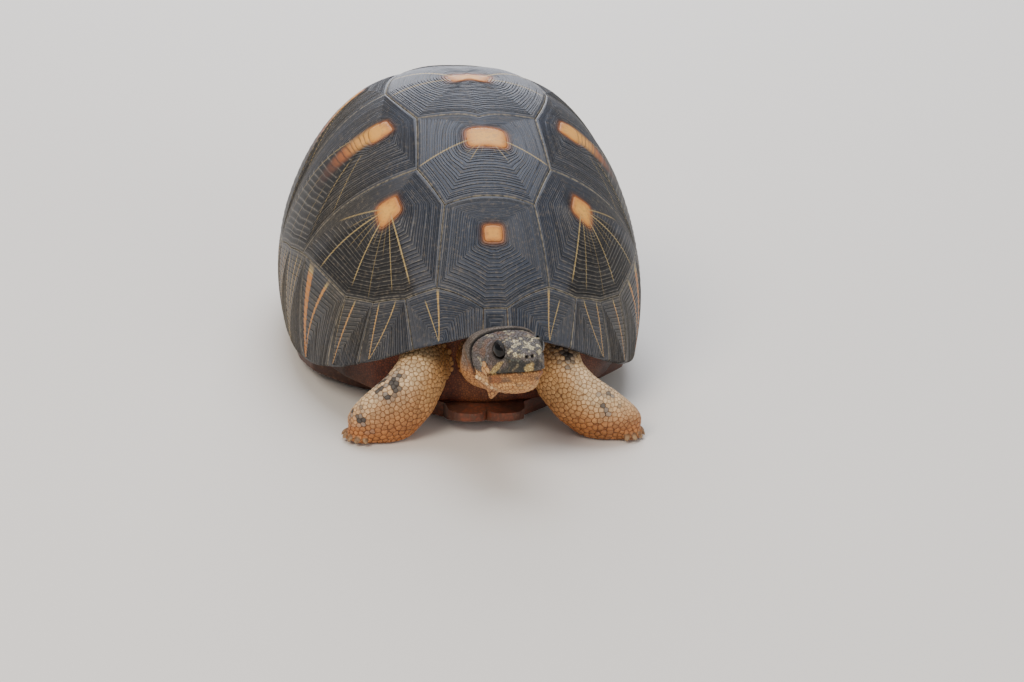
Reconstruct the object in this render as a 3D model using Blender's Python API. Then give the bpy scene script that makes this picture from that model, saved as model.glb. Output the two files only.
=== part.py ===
"""Adult radiated tortoise, life size, as a still museum model.

It faces -Y, lies on its plastron with the head out, and stands on z = 0. The carapace is a
smooth dome drawn on a unit disc: disc (0, -1) is the front rim, (0, 1) the rear rim and
(1, 0) the tortoise's own left side. Every horny plate is a slab cut from that dome along
seams that are straight on the disc. Metres throughout.
"""
import math

import bmesh
import bpy
from mathutils import Matrix, Vector

# Carapace
HALF_LENGTH = 0.1585
HALF_WIDTH = 0.1225
CROWN = 0.1847
FRONT_RIM = 0.0721
SIDE_RIM = 0.0157
REAR_RIM = 0.045
PLAN_SQUARENESS = 2.3
FRONT_RISE_POWER = 3.7
REAR_RISE_POWER = 2.5
SIDE_STEEPNESS = 0.83
END_STEEPNESS = 1.07
HEIGHT_POWER = 1.03
SIDE_TUCK = 0.07
END_FLARE = 0.06
RIM_ZONE = 0.28
RIM_LIMIT = 0.995
SERRATION = 0.0025

# Plates
GAP = 0.0003
SEAM_INSET = 0.0013
PLATE_THICKNESS = 0.0042
SHELF = 0.007
INNER_TAPER = 0.06
MARGINAL_ARCS = (3.5, 21.9, 37.7, 49.5, 63.0, 77.5, 92.0, 106.5, 121.0, 136.5, 152.5, 169.0)
MARGINAL_TOPS = (0.9075, 0.832, 0.825, 0.804, 0.732, 0.755, 0.79, 0.815, 0.83, 0.82, 0.82, 0.83)
MARGINAL_TOP_ARCS = (3.3, 25.7, 35.3, 45.0, 66.6, 80.0, 93.0, 106.5, 121.0, 136.5, 152.5, 169.0)

# Seams of the plates on the disc. The left half of each vertebral, front to back, is mirrored.
VERTEBRALS = {
    # name: (corners, areola Y, hump)
    "vertebral_1": (((0, -0.907), (0.052, -0.907), (0.238, -0.785), (0.165, -0.540), (0, -0.546)),
                    -0.683, 0.0020),
    "vertebral_2": (((0, -0.546), (0.165, -0.540), (0.228, -0.377), (0.184, -0.179), (0, -0.249)),
                    -0.349, 0.0020),
    "vertebral_3": (((0, -0.249), (0.184, -0.179), (0.235, 0.0), (0.180, 0.180), (0, 0.205)),
                    -0.032, 0.0025),
    "vertebral_4": (((0, 0.205), (0.180, 0.180), (0.220, 0.360), (0.130, 0.520), (0, 0.520)),
                    0.345, 0.0030),
    "vertebral_5": (((0, 0.520), (0.130, 0.520), (0.302, 0.758), (0.158, 0.815), (0, 0.830)),
                    0.675, 0.0035),
}
COSTALS = {
    "costal_{}_1": (((0.165, -0.540), (0.238, -0.785), (0.361, -0.750), (0.477, -0.673),
                     (0.5685, -0.5685), (0.6718, -0.2907), (0.6847, -0.2620), (0.228, -0.377)),
                    (0.335, -0.467), 0.0015),
    "costal_{}_2": (((0.228, -0.377), (0.6847, -0.2620), (0.7435, -0.1311), (0.7889, 0.0413),
                     (0.7878, 0.0699), (0.235, 0.0), (0.184, -0.179)),
                    (0.340, -0.165), 0.0015),
    "costal_{}_3": (((0.235, 0.0), (0.7878, 0.0699), (0.7814, 0.2315), (0.7114, 0.4275),
                     (0.220, 0.360), (0.180, 0.180)),
                    (0.350, 0.150), 0.0015),
    "costal_{}_4": (((0.220, 0.360), (0.7114, 0.4275), (0.5645, 0.5948), (0.3786, 0.7273),
                     (0.302, 0.758), (0.130, 0.520)),
                    (0.360, 0.500), 0.0020),
}
PLASTRON = {
    "gular_{}": ((0, -0.935), (0.060, -0.978), (0.140, -0.975), (0.195, -0.930), (0.205, -0.850),
                 (0, -0.660)),
    "humeral_{}": ((0, -0.660), (0.205, -0.850), (0.370, -0.700), (0.520, -0.510), (0, -0.420)),
    "pectoral_{}": ((0, -0.420), (0.520, -0.510), (0.840, -0.440), (0.915, -0.310), (0, -0.300)),
    "abdominal_{}": ((0, -0.300), (0.915, -0.310), (0.965, 0.0), (0.900, 0.340), (0.620, 0.420),
                     (0, 0.290)),
    "femoral_{}": ((0, 0.290), (0.620, 0.420), (0.520, 0.620), (0.360, 0.740), (0, 0.600)),
    "anal_{}": ((0, 0.600), (0.360, 0.740), (0.300, 0.860), (0.130, 0.900), (0, 0.800)),
}

# Trunk and plastron
CORE_DEPTH = 0.0062
CORE_REACH = 0.95
WALL_FRONT = -0.137
WALL_REAR = 0.128
WALL_BOW = 4.2
PLASTRON_THICKNESS = 0.0055
PLASTRON_FLAT = 0.62
BRIDGE_TOP = 0.021
END_RISE = 0.0105
LIP_START = -0.139
LIP_LENGTH = 0.008
LIP_THICKNESS = 0.0045
TRUNK_CLEARANCE = 0.0022

# Limbs and tail: stations of (centre, half width, half depth) from the root to the end
FRONT_LEG = {
    "right": (((-0.036, -0.110, 0.044), 0.016, 0.012), ((-0.037, -0.132, 0.044), 0.018, 0.014),
              ((-0.0415, -0.146, 0.038), 0.0185, 0.0145), ((-0.049, -0.154, 0.0285), 0.0205, 0.0145),
              ((-0.060, -0.158, 0.0185), 0.022, 0.0135), ((-0.0695, -0.159, 0.0115), 0.0215, 0.0125),
              ((-0.078, -0.158, 0.007), 0.0185, 0.010), ((-0.0845, -0.157, 0.0045), 0.0125, 0.0065)),
    "left": (((0.042, -0.110, 0.043), 0.016, 0.012), ((0.043, -0.132, 0.043), 0.018, 0.014),
             ((0.0455, -0.1470, 0.0345), 0.0180, 0.0140), ((0.0545, -0.157, 0.0260), 0.0187, 0.0130),
             ((0.0655, -0.159, 0.0185), 0.0195, 0.013), ((0.076, -0.159, 0.0115), 0.0190, 0.012),
             ((0.086, -0.158, 0.0065), 0.0165, 0.0095), ((0.0935, -0.157, 0.004), 0.011, 0.006)),
}
HIND_LEG = (((0.056, 0.092, 0.026), 0.016, 0.0125), ((0.063, 0.110, 0.0245), 0.018, 0.0135),
            ((0.070, 0.125, 0.0175), 0.018, 0.0115), ((0.077, 0.137, 0.0115), 0.017, 0.0105),
            ((0.083, 0.145, 0.007), 0.0155, 0.009), ((0.087, 0.150, 0.0045), 0.011, 0.0055))
NECK = (((0.0, -0.118, 0.044), 0.0175, 0.0150), ((0.0, -0.140, 0.046), 0.0180, 0.0155),
        ((-0.001, -0.156, 0.049), 0.0185, 0.0155), ((-0.0025, -0.1695, 0.0525), 0.0190, 0.0145))
TAIL = (((0.0, 0.116, 0.030), 0.0125, 0.0105), ((0.0, 0.134, 0.029), 0.0120, 0.0100),
        ((0.002, 0.146, 0.024), 0.0100, 0.0085), ((0.007, 0.154, 0.0175), 0.0075, 0.0070),
        ((0.014, 0.158, 0.0125), 0.0050, 0.0050), ((0.020, 0.158, 0.0095), 0.0022, 0.0024))
CLAW_ROOT = 0.004
CLAW_TIP = 0.0132
CLAW_DROP = 0.0042
CLAW_RADIUS = 0.0042
FRONT_CLAWS = (-92, 25, 5)
HIND_CLAWS = (-12, 32, 4)

# Head
SNOUT = Vector((0.0100, -0.235, 0.0755))
HEAD_YAW = math.radians(14)
HEAD_PITCH = math.radians(2)
MOUTH_GAP = 0.00015
EYE_RADIUS = 0.0062
EYE_BACK = 0.0166
EYE_UP = 0.0094
EYE_OUT = 0.0098
HEAD_SECTIONS = (
    # back from the snout, half width, top and bottom over the mouth line, in millimetres
    (0.0, 5.6, 10.8, 1.0), (1.5, 9.2, 12.9, 0.0), (5.0, 12.4, 14.6, 0.0), (10.0, 14.5, 15.2, 0.0),
    (16.0, 16.2, 15.4, 0.0), (23.0, 18.3, 15.1, 0.0), (30.0, 20.5, 14.7, 0.0),
    (34.3, 21.6, 14.4, 0.0), (34.7, 21.7, 14.4, -20.5), (42.0, 22.4, 14.2, -20.8),
    (49.0, 21.6, 12.6, -19.6), (54.0, 19.8, 10.6, -17.5))
JAW_SECTIONS = (
    (2.2, 7.6, 0.0, -6.0), (4.0, 10.2, 0.0, -10.5), (9.0, 13.4, 0.0, -14.5), (16.0, 15.7, 0.0, -17.5),
    (25.0, 18.4, 0.0, -19.6), (34.0, 20.9, 0.0, -20.5))

SHELL_COLOR = (0.022, 0.020, 0.020, 1)
PLASTRON_COLOR = (0.21, 0.085, 0.045, 1)
SKIN_COLOR = (0.42, 0.24, 0.11, 1)
HEAD_COLOR = (0.13, 0.11, 0.085, 1)
EYE_COLOR = (0.01, 0.008, 0.006, 1)


def clear_scene():
    for obj in list(bpy.data.objects):
        bpy.data.objects.remove(obj, do_unlink=True)


def collection(name):
    made = bpy.data.collections.new(name)
    bpy.context.scene.collection.children.link(made)
    return made


def object_from(bm, name, color, roughness, home):
    bmesh.ops.recalc_face_normals(bm, faces=bm.faces)
    mesh = bpy.data.meshes.new(name)
    bm.to_mesh(mesh)
    bm.free()
    obj = bpy.data.objects.new(name, mesh)
    home.objects.link(obj)
    material = bpy.data.materials.new(name)
    material.use_nodes = True
    shader = material.node_tree.nodes["Principled BSDF"]
    shader.inputs["Base Color"].default_value = color
    shader.inputs["Roughness"].default_value = roughness
    mesh.materials.append(material)
    return obj


# The dome

def rim_height(dy):
    if dy < 0:
        return SIDE_RIM + (FRONT_RIM - SIDE_RIM) * (-dy) ** FRONT_RISE_POWER
    return SIDE_RIM + (REAR_RIM - SIDE_RIM) * dy ** REAR_RISE_POWER


def plan_point(dx, dy, reach):
    """Where a direction on the disc meets the shell's outline, `reach` of the way out."""
    squared = (abs(dx) ** PLAN_SQUARENESS + abs(dy) ** PLAN_SQUARENESS) ** (1 / PLAN_SQUARENESS)
    return HALF_WIDTH * dx * reach / squared, HALF_LENGTH * dy * reach / squared


def dome(x, y):
    """The carapace's outer surface over disc point (x, y)."""
    r = math.hypot(x, y)
    if r < 1e-6:
        return Vector((0, 0, CROWN))
    dx, dy = x / r, y / r
    bend = r * math.pi / 2
    reach = math.sin(bend) ** (SIDE_STEEPNESS * dx * dx + END_STEEPNESS * dy * dy)
    edge = max(0, (r - 1 + RIM_ZONE) / RIM_ZONE) ** 2
    reach *= 1 - edge * (SIDE_TUCK * dx * dx - END_FLARE * dy * dy)
    rim = rim_height(dy)
    height = rim + (CROWN - rim) * max(0, math.cos(bend)) ** HEIGHT_POWER
    return Vector((*plan_point(dx, dy, reach), height))


def dome_normal(x, y):
    r = math.hypot(x, y)
    if r > RIM_LIMIT:
        x, y = x * RIM_LIMIT / r, y * RIM_LIMIT / r
    step = 0.004
    along = dome(x + step, y) - dome(x - step, y)
    across = dome(x, y + step) - dome(x, y - step)
    return along.cross(across).normalized()


def on_disc(degrees, r=1.0):
    """Disc point at this angle from the front, on the tortoise's left."""
    angle = math.radians(degrees)
    return Vector((r * math.sin(angle), -r * math.cos(angle)))


# Slabs: a grid of squares one unit thick, bent into place by a function of (u, v, w)

def slab(columns, rows, place, wrapped):
    bm = bmesh.new()
    bmesh.ops.create_grid(bm, x_segments=columns, y_segments=rows, size=0.5)
    out = bmesh.ops.extrude_face_region(bm, geom=bm.faces[:], use_keep_orig=True)
    lifted = [item for item in out["geom"] if isinstance(item, bmesh.types.BMVert)]
    bmesh.ops.translate(bm, verts=lifted, vec=(0, 0, 1))
    if wrapped:
        # A wrapped slab is a disc: it keeps only the wall at its outer edge.
        centres = [(face, face.calc_center_median()) for face in bm.faces]
        inner = [f for f, c in centres if abs(c.x) > 0.4999 or c.y < -0.4999]
        bmesh.ops.delete(bm, geom=inner, context="FACES")
    for vert in bm.verts:
        vert.co = place(vert.co.x + 0.5, vert.co.y + 0.5, vert.co.z)
    bmesh.ops.remove_doubles(bm, verts=bm.verts, dist=1e-6)
    return bm


def inset_outline(corners, inset):
    """The corners moved in by `inset`, so that two neighbours leave a seam."""
    moved = []
    for before, corner, after in zip(corners[-1:] + corners[:-1], corners, corners[1:] + corners[:1]):
        side_in = (corner - before).normalized()
        side_out = (after - corner).normalized()
        normal_in = Vector((-side_in.y, side_in.x))
        normal_out = Vector((-side_out.y, side_out.x))
        moved.append(corner + (normal_in + normal_out) * inset / (1 + normal_in.dot(normal_out)))
    return moved


def outline_points(corners, count):
    """`count` points round the outline: every corner, and the long sides divided evenly."""
    sides = list(zip(corners, corners[1:] + corners[:1]))
    pieces = [1] * len(sides)
    while sum(pieces) < count:
        longest = max(range(len(sides)), key=lambda i: (sides[i][1] - sides[i][0]).length / pieces[i])
        pieces[longest] += 1
    return [
        start.lerp(end, k / n)
        for (start, end), n in zip(sides, pieces)
        for k in range(n)
    ]


def counterclockwise(corners):
    area = sum(a.cross(b) for a, b in zip(corners, corners[1:] + corners[:1]))
    return corners if area > 0 else corners[::-1]


def plate_slab(corners, centre, spokes, rings, surface):
    """A slab over the outline, with rings round `centre`. surface(point, share_out, w) places it."""
    outline = outline_points(inset_outline(counterclockwise(corners), SEAM_INSET), spokes)

    def place(u, v, w):
        edge = outline[round(u * spokes) % spokes]
        return surface(centre.lerp(edge, v), v, w)

    return slab(spokes, rings, place, wrapped=True)


def mirrored(corners, side):
    return [Vector((side * corner.x, corner.y)) for corner in corners]


# Carapace plates

def carapace_surface(hump):
    def surface(point, share_out, w):
        lift = hump * (1 - share_out ** 2) * (1 - w) - PLATE_THICKNESS * w
        return dome(point.x, point.y) + dome_normal(point.x, point.y) * lift
    return surface


def add_vertebrals(home):
    for name, (half, areola, hump) in VERTEBRALS.items():
        left = [Vector(corner) for corner in half]
        corners = left + mirrored(left[-2:0:-1], -1)
        bm = plate_slab(corners, Vector((0, areola)), 20, 2, carapace_surface(hump))
        object_from(bm, name, SHELL_COLOR, 0.4, home)


def add_costals(home):
    for pattern, (corners, areola, hump) in COSTALS.items():
        for side, word in ((1, "left"), (-1, "right")):
            outline = mirrored([Vector(corner) for corner in corners], side)
            centre = Vector((side * areola[0], areola[1]))
            bm = plate_slab(outline, centre, 20, 3, carapace_surface(hump))
            object_from(bm, pattern.format(word), SHELL_COLOR, 0.4, home)


# Marginals

def shelf_width(dy):
    """How far the marginals turn in under the rim: hardly at all along the bridge."""
    return SHELF * (0.25 + 0.75 * min(1, abs(dy) / 0.75) ** 4)


def rim_point(direction, v, w):
    """The outer face and the turned-in shelf. v runs down to the rim at 1, then in under it."""
    normal = dome_normal(direction.x, direction.y)
    rim = dome(direction.x, direction.y)
    inward = Vector((-rim.x, -rim.y, 0)).normalized()
    under = rim + inward * shelf_width(direction.y) * (v - 1) - Vector((0, 0, 0.0012))
    thick = (Vector((0, 0, 1)) - normal * 0.3).normalized()
    if v < 1.001:
        return rim + (Vector((0, 0, 0.35)) - normal * 1.1) * PLATE_THICKNESS * w
    return under + thick * PLATE_THICKNESS * 0.8 * w


def marginal_slab(top, rim_arcs, side):
    """`top` is the seam above it, as two or three disc points; rim_arcs its span on the rim."""
    columns, rows = 4, 4
    start, end = rim_arcs
    inset = math.degrees(SEAM_INSET)

    def place(u, v, w):
        u = 0.5 + (u - 0.5) * (1 - INNER_TAPER * w)
        across = u * (len(top) - 1)
        index = min(int(across), len(top) - 2)
        upper = top[index].lerp(top[index + 1], across - index)
        arc = (start + inset) + (end - start - 2 * inset) * u
        lower = on_disc(arc)
        row = round(v * rows)
        if row == rows:
            point = rim_point(lower, 2, w)
        elif row == rows - 1:
            bulge = SERRATION * (1 - (2 * u - 1) ** 2) * abs(lower.y) ** 2
            outward = Vector((lower.x, lower.y, 0)) * bulge
            point = rim_point(lower, 1, w) + outward
        else:
            spot = upper.lerp(lower, row / (rows - 1))
            lift = -PLATE_THICKNESS * w
            point = dome(spot.x, spot.y) + dome_normal(spot.x, spot.y) * lift
        return Vector((side * point.x, point.y, point.z))

    return slab(columns, rows, place, wrapped=False)


def trimmed(seam):
    """The seam above a marginal, drawn in at its ends and down from the plate above."""
    along = (seam[-1] - seam[0]).normalized() * SEAM_INSET
    outward = Vector((-along.y, along.x))
    if outward.dot(seam[1]) < 0:
        outward = -outward
    return [seam[0] + along + outward, seam[1] + outward, seam[2] - along + outward]


def marginal_top(index):
    """The seam above marginal `index`. The first one bends where three plates meet."""
    ends = [on_disc(MARGINAL_TOP_ARCS[k], MARGINAL_TOPS[k]) for k in (index - 1, index)]
    middle = Vector(VERTEBRALS["vertebral_1"][0][2]) if index == 1 else ends[0].lerp(ends[1], 0.5)
    return trimmed([ends[0], middle, ends[1]])


def add_marginals(home):
    for index in range(1, len(MARGINAL_ARCS)):
        arcs = MARGINAL_ARCS[index - 1:index + 1]
        for side, word in ((1, "left"), (-1, "right")):
            bm = marginal_slab(marginal_top(index), arcs, side)
            object_from(bm, f"marginal_{word}_{index}", SHELL_COLOR, 0.4, home)


def add_midline_rims(home):
    """The nuchal and the supracaudal, which sit astride the midline."""
    for name, middle, half_arc, half_top, r, top_y in (
            ("nuchal", 0, MARGINAL_ARCS[0], MARGINAL_TOP_ARCS[0], MARGINAL_TOPS[0], -0.907),
            ("supracaudal", 180, 180 - MARGINAL_ARCS[-1], 180 - MARGINAL_TOP_ARCS[-1],
             MARGINAL_TOPS[-1], 0.830)):
        seam = [on_disc(middle - half_top, r), Vector((0, top_y)), on_disc(middle + half_top, r)]
        bm = marginal_slab(trimmed(seam), (middle - half_arc, middle + half_arc), 1)
        object_from(bm, name, SHELL_COLOR, 0.4, home)


# Plastron

def underside(point):
    """The plastron's lower face: flat on the floor, turned up towards the rim."""
    r = min(point.length, 1)
    if r < 1e-6:
        return Vector((0, 0, 0))
    dx, dy = point.x / r, point.y / r
    reach = r * (1 - SIDE_TUCK * dx * dx * r ** 4)
    bridge = min(rim_height(dy), BRIDGE_TOP) - PLASTRON_THICKNESS - 2 * GAP
    rise = bridge + (END_RISE - bridge) * dy ** 4
    lifted = max(0, (r - PLASTRON_FLAT) / (1 - PLASTRON_FLAT)) ** 2
    return Vector((*plan_point(dx, dy, reach), rise * lifted))


def plastron_surface(point, share_out, w):
    """The front lip, ahead of the trunk's wall, is thicker than the rest."""
    low = underside(point)
    lip = min(1, max(0, (LIP_START - low.y) / LIP_LENGTH)) * LIP_THICKNESS
    return low + Vector((0, 0, (PLASTRON_THICKNESS + lip) * w))


def add_plastron(home):
    for pattern, corners in PLASTRON.items():
        middle = sum((Vector(corner) for corner in corners), Vector((0, 0))) / len(corners)
        for side, word in ((1, "left"), (-1, "right")):
            outline = mirrored([Vector(corner) for corner in corners], side)
            centre = Vector((side * middle.x, middle.y))
            bm = plate_slab(outline, centre, 15, 2, plastron_surface)
            object_from(bm, pattern.format(word), PLASTRON_COLOR, 0.5, home)


# Trunk: the flesh core inside the plates, with a bowed wall set back under each end's rim

def front_wall(x):
    return WALL_FRONT + WALL_BOW * x * x


def rear_wall(x):
    return WALL_REAR - WALL_BOW * x * x


def core_slab(grow):
    """The trunk's shape, or with `grow` the cutter that leaves a gap round it."""
    spokes, rings = 30, 5

    def place(u, v, w):
        direction = on_disc(360 * (round(u * spokes) % spokes) / spokes)
        if w < 0.5:
            spot = direction * CORE_REACH * v ** 0.8
            point = dome(spot.x, spot.y) - dome_normal(spot.x, spot.y) * (CORE_DEPTH - grow)
        else:
            spot = direction * 0.90 * v
            point = underside(spot) + Vector((0, 0, PLASTRON_THICKNESS + TRUNK_CLEARANCE - grow))
        point.y = min(max(point.y, front_wall(point.x) - grow), rear_wall(point.x) + grow)
        return point

    return slab(spokes, rings, place, wrapped=True)


def add_trunk(home):
    object_from(core_slab(0), "trunk", SKIN_COLOR, 0.7, home)


def add_cutters(helpers):
    """What every limb is cut with: the trunk grown by the gap, and the ground."""
    core = object_from(core_slab(2 * GAP), "core", SKIN_COLOR, 0.7, helpers)
    bm = bmesh.new()
    bmesh.ops.create_cube(bm, size=1, matrix=Matrix.Translation((0, 0, -0.5)))
    return core, object_from(bm, "ground", SKIN_COLOR, 0.7, helpers)


# Lofts: rings of points joined one to the next, for limbs, neck, tail and head

def loft(rings):
    bm = bmesh.new()
    levels = [[bm.verts.new(point) for point in ring] for ring in rings]
    for lower, upper in zip(levels, levels[1:]):
        for i in range(len(lower)):
            j = (i + 1) % len(lower)
            bm.faces.new((lower[i], lower[j], upper[j], upper[i]))
    bm.faces.new(levels[0][::-1])
    bm.faces.new(levels[-1])
    bmesh.ops.remove_doubles(bm, verts=bm.verts, dist=1e-6)
    return bm


def limb_rings(stations, sides, across):
    """Ellipses square to a path. A station is (centre, half width, half depth)."""
    centres = [Vector(station[0]) for station in stations]
    rings = []
    for i, (centre, (_, width, depth)) in enumerate(zip(centres, stations)):
        along = centres[min(i + 1, len(centres) - 1)] - centres[max(i - 1, 0)]
        wide = (across - along * across.dot(along) / along.length_squared).normalized()
        deep = along.cross(wide).normalized()
        turns = [math.tau * k / sides for k in range(sides)]
        rings.append([centre + wide * width * math.cos(t) + deep * depth * math.sin(t) for t in turns])
    return rings


def cut(target, cutters):
    for cutter in cutters:
        modifier = target.modifiers.new("cut", "BOOLEAN")
        modifier.operation = "DIFFERENCE"
        modifier.solver = "MANIFOLD"
        modifier.object = cutter


def join(target, others):
    """Boolean union of the others into target."""
    for other in others:
        union = target.modifiers.new("join", "BOOLEAN")
        union.operation = "UNION"
        union.solver = "MANIFOLD"
        union.object = other


def add_claw(foot, degrees, side, name, helpers):
    """A short blunt nail: a cone that points out of the foot and a little down."""
    turn = math.radians(degrees)
    away = Vector((side * math.cos(turn), math.sin(turn), 0))
    root = foot + away * CLAW_ROOT - Vector((0, 0, CLAW_DROP / 3))
    tip = foot + away * CLAW_TIP - Vector((0, 0, CLAW_DROP))
    turned = (tip - root).to_track_quat("Z", "Y").to_matrix().to_4x4()
    bm = bmesh.new()
    bmesh.ops.create_cone(bm, cap_ends=True, segments=6, radius1=CLAW_RADIUS,
                          radius2=CLAW_RADIUS * 0.45, depth=(tip - root).length,
                          matrix=Matrix.Translation((tip + root) / 2) @ turned)
    return object_from(bm, name, SKIN_COLOR, 0.5, helpers)


def add_leg(name, stations, across, claws, home, helpers, cutters):
    """A lofted leg with its claws joined on. claws: (first direction, step, count) in degrees."""
    side = math.copysign(1, stations[0][0][0])
    leg = object_from(loft(limb_rings(stations, 14, across)), name, SKIN_COLOR, 0.7, home)
    foot = Vector(stations[-2][0])
    first, step, count = claws
    nails = [add_claw(foot, first + step * k, side, f"claw_{name}_{k}", helpers) for k in range(count)]
    join(leg, nails)
    cut(leg, cutters)


def add_front_legs(home, helpers, cutters):
    for word, stations in FRONT_LEG.items():
        side = 1 if word == "left" else -1
        across = Vector((0.62, -0.25 * side, 0.75 * side))
        add_leg(f"leg_front_{word}", stations, across, FRONT_CLAWS, home, helpers, cutters)


def add_hind_legs(home, helpers, cutters):
    for side, word in ((1, "left"), (-1, "right")):
        stations = [((side * c[0], c[1], c[2]), w, d) for c, w, d in HIND_LEG]
        across = Vector((0.8, -0.6 * side, 0))
        add_leg(f"leg_hind_{word}", stations, across, HIND_CLAWS, home, helpers, cutters)


def add_tail(home, cutters):
    tail = object_from(loft(limb_rings(TAIL, 10, Vector((1, 0, 0)))), "tail", SKIN_COLOR, 0.7, home)
    cut(tail, cutters)


# Head

def head_matrix():
    """Head space: X to the tortoise's left, Y back from the snout, Z up from the mouth line."""
    turn = Matrix.Rotation(HEAD_YAW, 4, "Z") @ Matrix.Rotation(-HEAD_PITCH, 4, "X")
    return Matrix.Translation(SNOUT) @ turn


def head_ring(section, sides, power_up, power_down, gap):
    back, width, top, bottom = (value / 1000 for value in section)
    middle = bottom if bottom >= 0 else 0.0
    ring = []
    for k in range(sides):
        turn = math.tau * (k + 0.5) / sides
        c, s = math.cos(turn), math.sin(turn)
        height, power = (top - middle, power_up) if s > 0 else (middle - bottom, power_down)
        x = width * math.copysign(abs(c) ** (2 / power), c)
        z = middle + height * math.copysign(abs(s) ** (2 / power), s)
        if s < 0 and bottom >= 0:
            x, z = width * c, bottom - 0.0001 * s
        ring.append(Vector((x, back, z + gap)))
    return ring


def add_head(home, helpers):
    frame = head_matrix()
    rings = [head_ring(section, 20, 2.5, 2.4, MOUTH_GAP) for section in HEAD_SECTIONS]
    head = object_from(loft([[frame @ p for p in ring] for ring in rings]), "head",
                       HEAD_COLOR, 0.6, home)
    for side, word in ((1, "left"), (-1, "right")):
        centre = frame @ Vector((side * EYE_OUT, EYE_BACK, EYE_UP))
        socket = ball(f"socket_{word}", centre, EYE_RADIUS + GAP, helpers)
        cut(head, [socket])
        ball(f"eye_{word}", centre, EYE_RADIUS, home)


def ball(name, centre, radius, home):
    bm = bmesh.new()
    bmesh.ops.create_uvsphere(bm, u_segments=12, v_segments=8, radius=radius,
                              matrix=Matrix.Translation(centre))
    return object_from(bm, name, EYE_COLOR, 0.08, home)


def jaw_ring(section, sides):
    back, width, top, bottom = (value / 1000 for value in section)
    ring = []
    for k in range(sides):
        turn = math.tau * (k + 0.5) / sides
        c, s = math.cos(turn), math.sin(turn)
        z = bottom * abs(s) ** 0.85 if s < 0 else -0.0001 * (1 - s)
        x = width * math.copysign(abs(c) ** 0.8, c)
        ring.append(Vector((x, back, z - MOUTH_GAP)))
    return ring


def add_jaw(home):
    frame = head_matrix()
    rings = [[frame @ p for p in jaw_ring(section, 16)] for section in JAW_SECTIONS]
    object_from(loft(rings), "lower_jaw", SKIN_COLOR, 0.6, home)


def add_neck(home, cutters):
    """From the trunk's wall to the back of the head, flush with it but for the gap."""
    frame = head_matrix()
    rings = limb_rings(NECK, 20, Vector((1, 0, 0)))
    back = HEAD_SECTIONS[-1][0] / 1000 + GAP
    for reach, width, top, bottom in ((back + 0.0045, 19.4, 4.0, -18.0), (back, 19.4, 10.6, -17.3)):
        ring = head_ring((reach * 1000, width, top, bottom), 20, 2.2, 2.2, 0)
        rings.append([frame @ p for p in ring])
    neck = object_from(loft(rings), "neck", SKIN_COLOR, 0.7, home)
    cut(neck, cutters[:1])


def centre_on_floor(home):
    """Puts the origin under the middle of the whole model's box."""
    bpy.context.view_layer.update()
    ys = [v.co.y for obj in home.objects for v in obj.data.vertices]
    shift = Matrix.Translation((0, -(min(ys) + max(ys)) / 2, 0))
    for obj in bpy.data.objects:
        obj.data.transform(shift)


def main():
    clear_scene()
    home = collection("Radiated tortoise")
    helpers = collection("Cutters")
    add_vertebrals(home)
    add_costals(home)
    add_marginals(home)
    add_midline_rims(home)
    add_plastron(home)
    add_trunk(home)
    cutters = add_cutters(helpers)
    add_front_legs(home, helpers, cutters)
    add_hind_legs(home, helpers, cutters)
    add_neck(home, cutters)
    add_tail(home, cutters)
    add_head(home, helpers)
    add_jaw(home)
    for helper in helpers.objects:
        helper.hide_render = True
        helper.display_type = "WIRE"
    centre_on_floor(home)


main()
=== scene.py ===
# Radiated tortoise, life size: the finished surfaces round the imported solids.
import math
import random

import bmesh
import bpy
import numpy as np
from mathutils import Matrix, Vector
from mathutils.bvhtree import BVHTree
from mathutils.kdtree import KDTree


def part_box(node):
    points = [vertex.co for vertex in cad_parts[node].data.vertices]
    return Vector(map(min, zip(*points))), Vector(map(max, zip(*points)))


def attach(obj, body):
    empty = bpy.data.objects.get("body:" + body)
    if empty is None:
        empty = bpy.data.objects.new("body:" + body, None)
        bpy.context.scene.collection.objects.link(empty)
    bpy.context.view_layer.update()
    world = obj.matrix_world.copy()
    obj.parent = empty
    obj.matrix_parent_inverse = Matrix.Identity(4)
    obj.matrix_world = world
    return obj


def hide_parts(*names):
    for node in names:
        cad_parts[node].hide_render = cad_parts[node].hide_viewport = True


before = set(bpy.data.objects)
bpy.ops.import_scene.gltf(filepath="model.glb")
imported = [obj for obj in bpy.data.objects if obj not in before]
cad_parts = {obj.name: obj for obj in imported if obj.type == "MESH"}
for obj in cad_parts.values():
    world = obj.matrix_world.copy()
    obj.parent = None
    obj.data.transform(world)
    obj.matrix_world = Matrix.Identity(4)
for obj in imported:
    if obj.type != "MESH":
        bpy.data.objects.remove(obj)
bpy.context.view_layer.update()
mm = 0.001


def linear(hexColor):
    channels = [int(hexColor[i:i + 2], 16) / 255 for i in (1, 3, 5)]
    return [c / 12.92 if c <= 0.04045 else ((c + 0.055) / 1.055) ** 2.4 for c in channels] + [1.0]


# Sets a node's inputs: {socket: a value, "#rrggbb", a node, or (node, output)}
def plug(tree, node, inputs):
    for socket, value in inputs.items():
        source, output = value if isinstance(value, tuple) and hasattr(value[0], "outputs") else (value, 0)
        if hasattr(source, "outputs"):
            tree.links.new(source.outputs[output], node.inputs[socket])
        else:
            node.inputs[socket].default_value = linear(value) if isinstance(value, str) else value


# Adds a shader node with its inputs; stops are a ramp's: (position, colour or grey)
def addNode(tree, kind, inputs=None, stops=None, **attributes):
    node = tree.nodes.new("ShaderNode" + kind)
    for name, value in attributes.items():
        setattr(node, name, value)
    plug(tree, node, inputs or {})
    for index, (position, color) in enumerate(stops or ()):
        ramp = node.color_ramp.elements
        element = ramp[index] if index < 2 else ramp.new(position)
        element.position = position
        element.color = linear(color) if isinstance(color, str) else (color, color, color, 1)
    return node


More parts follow.
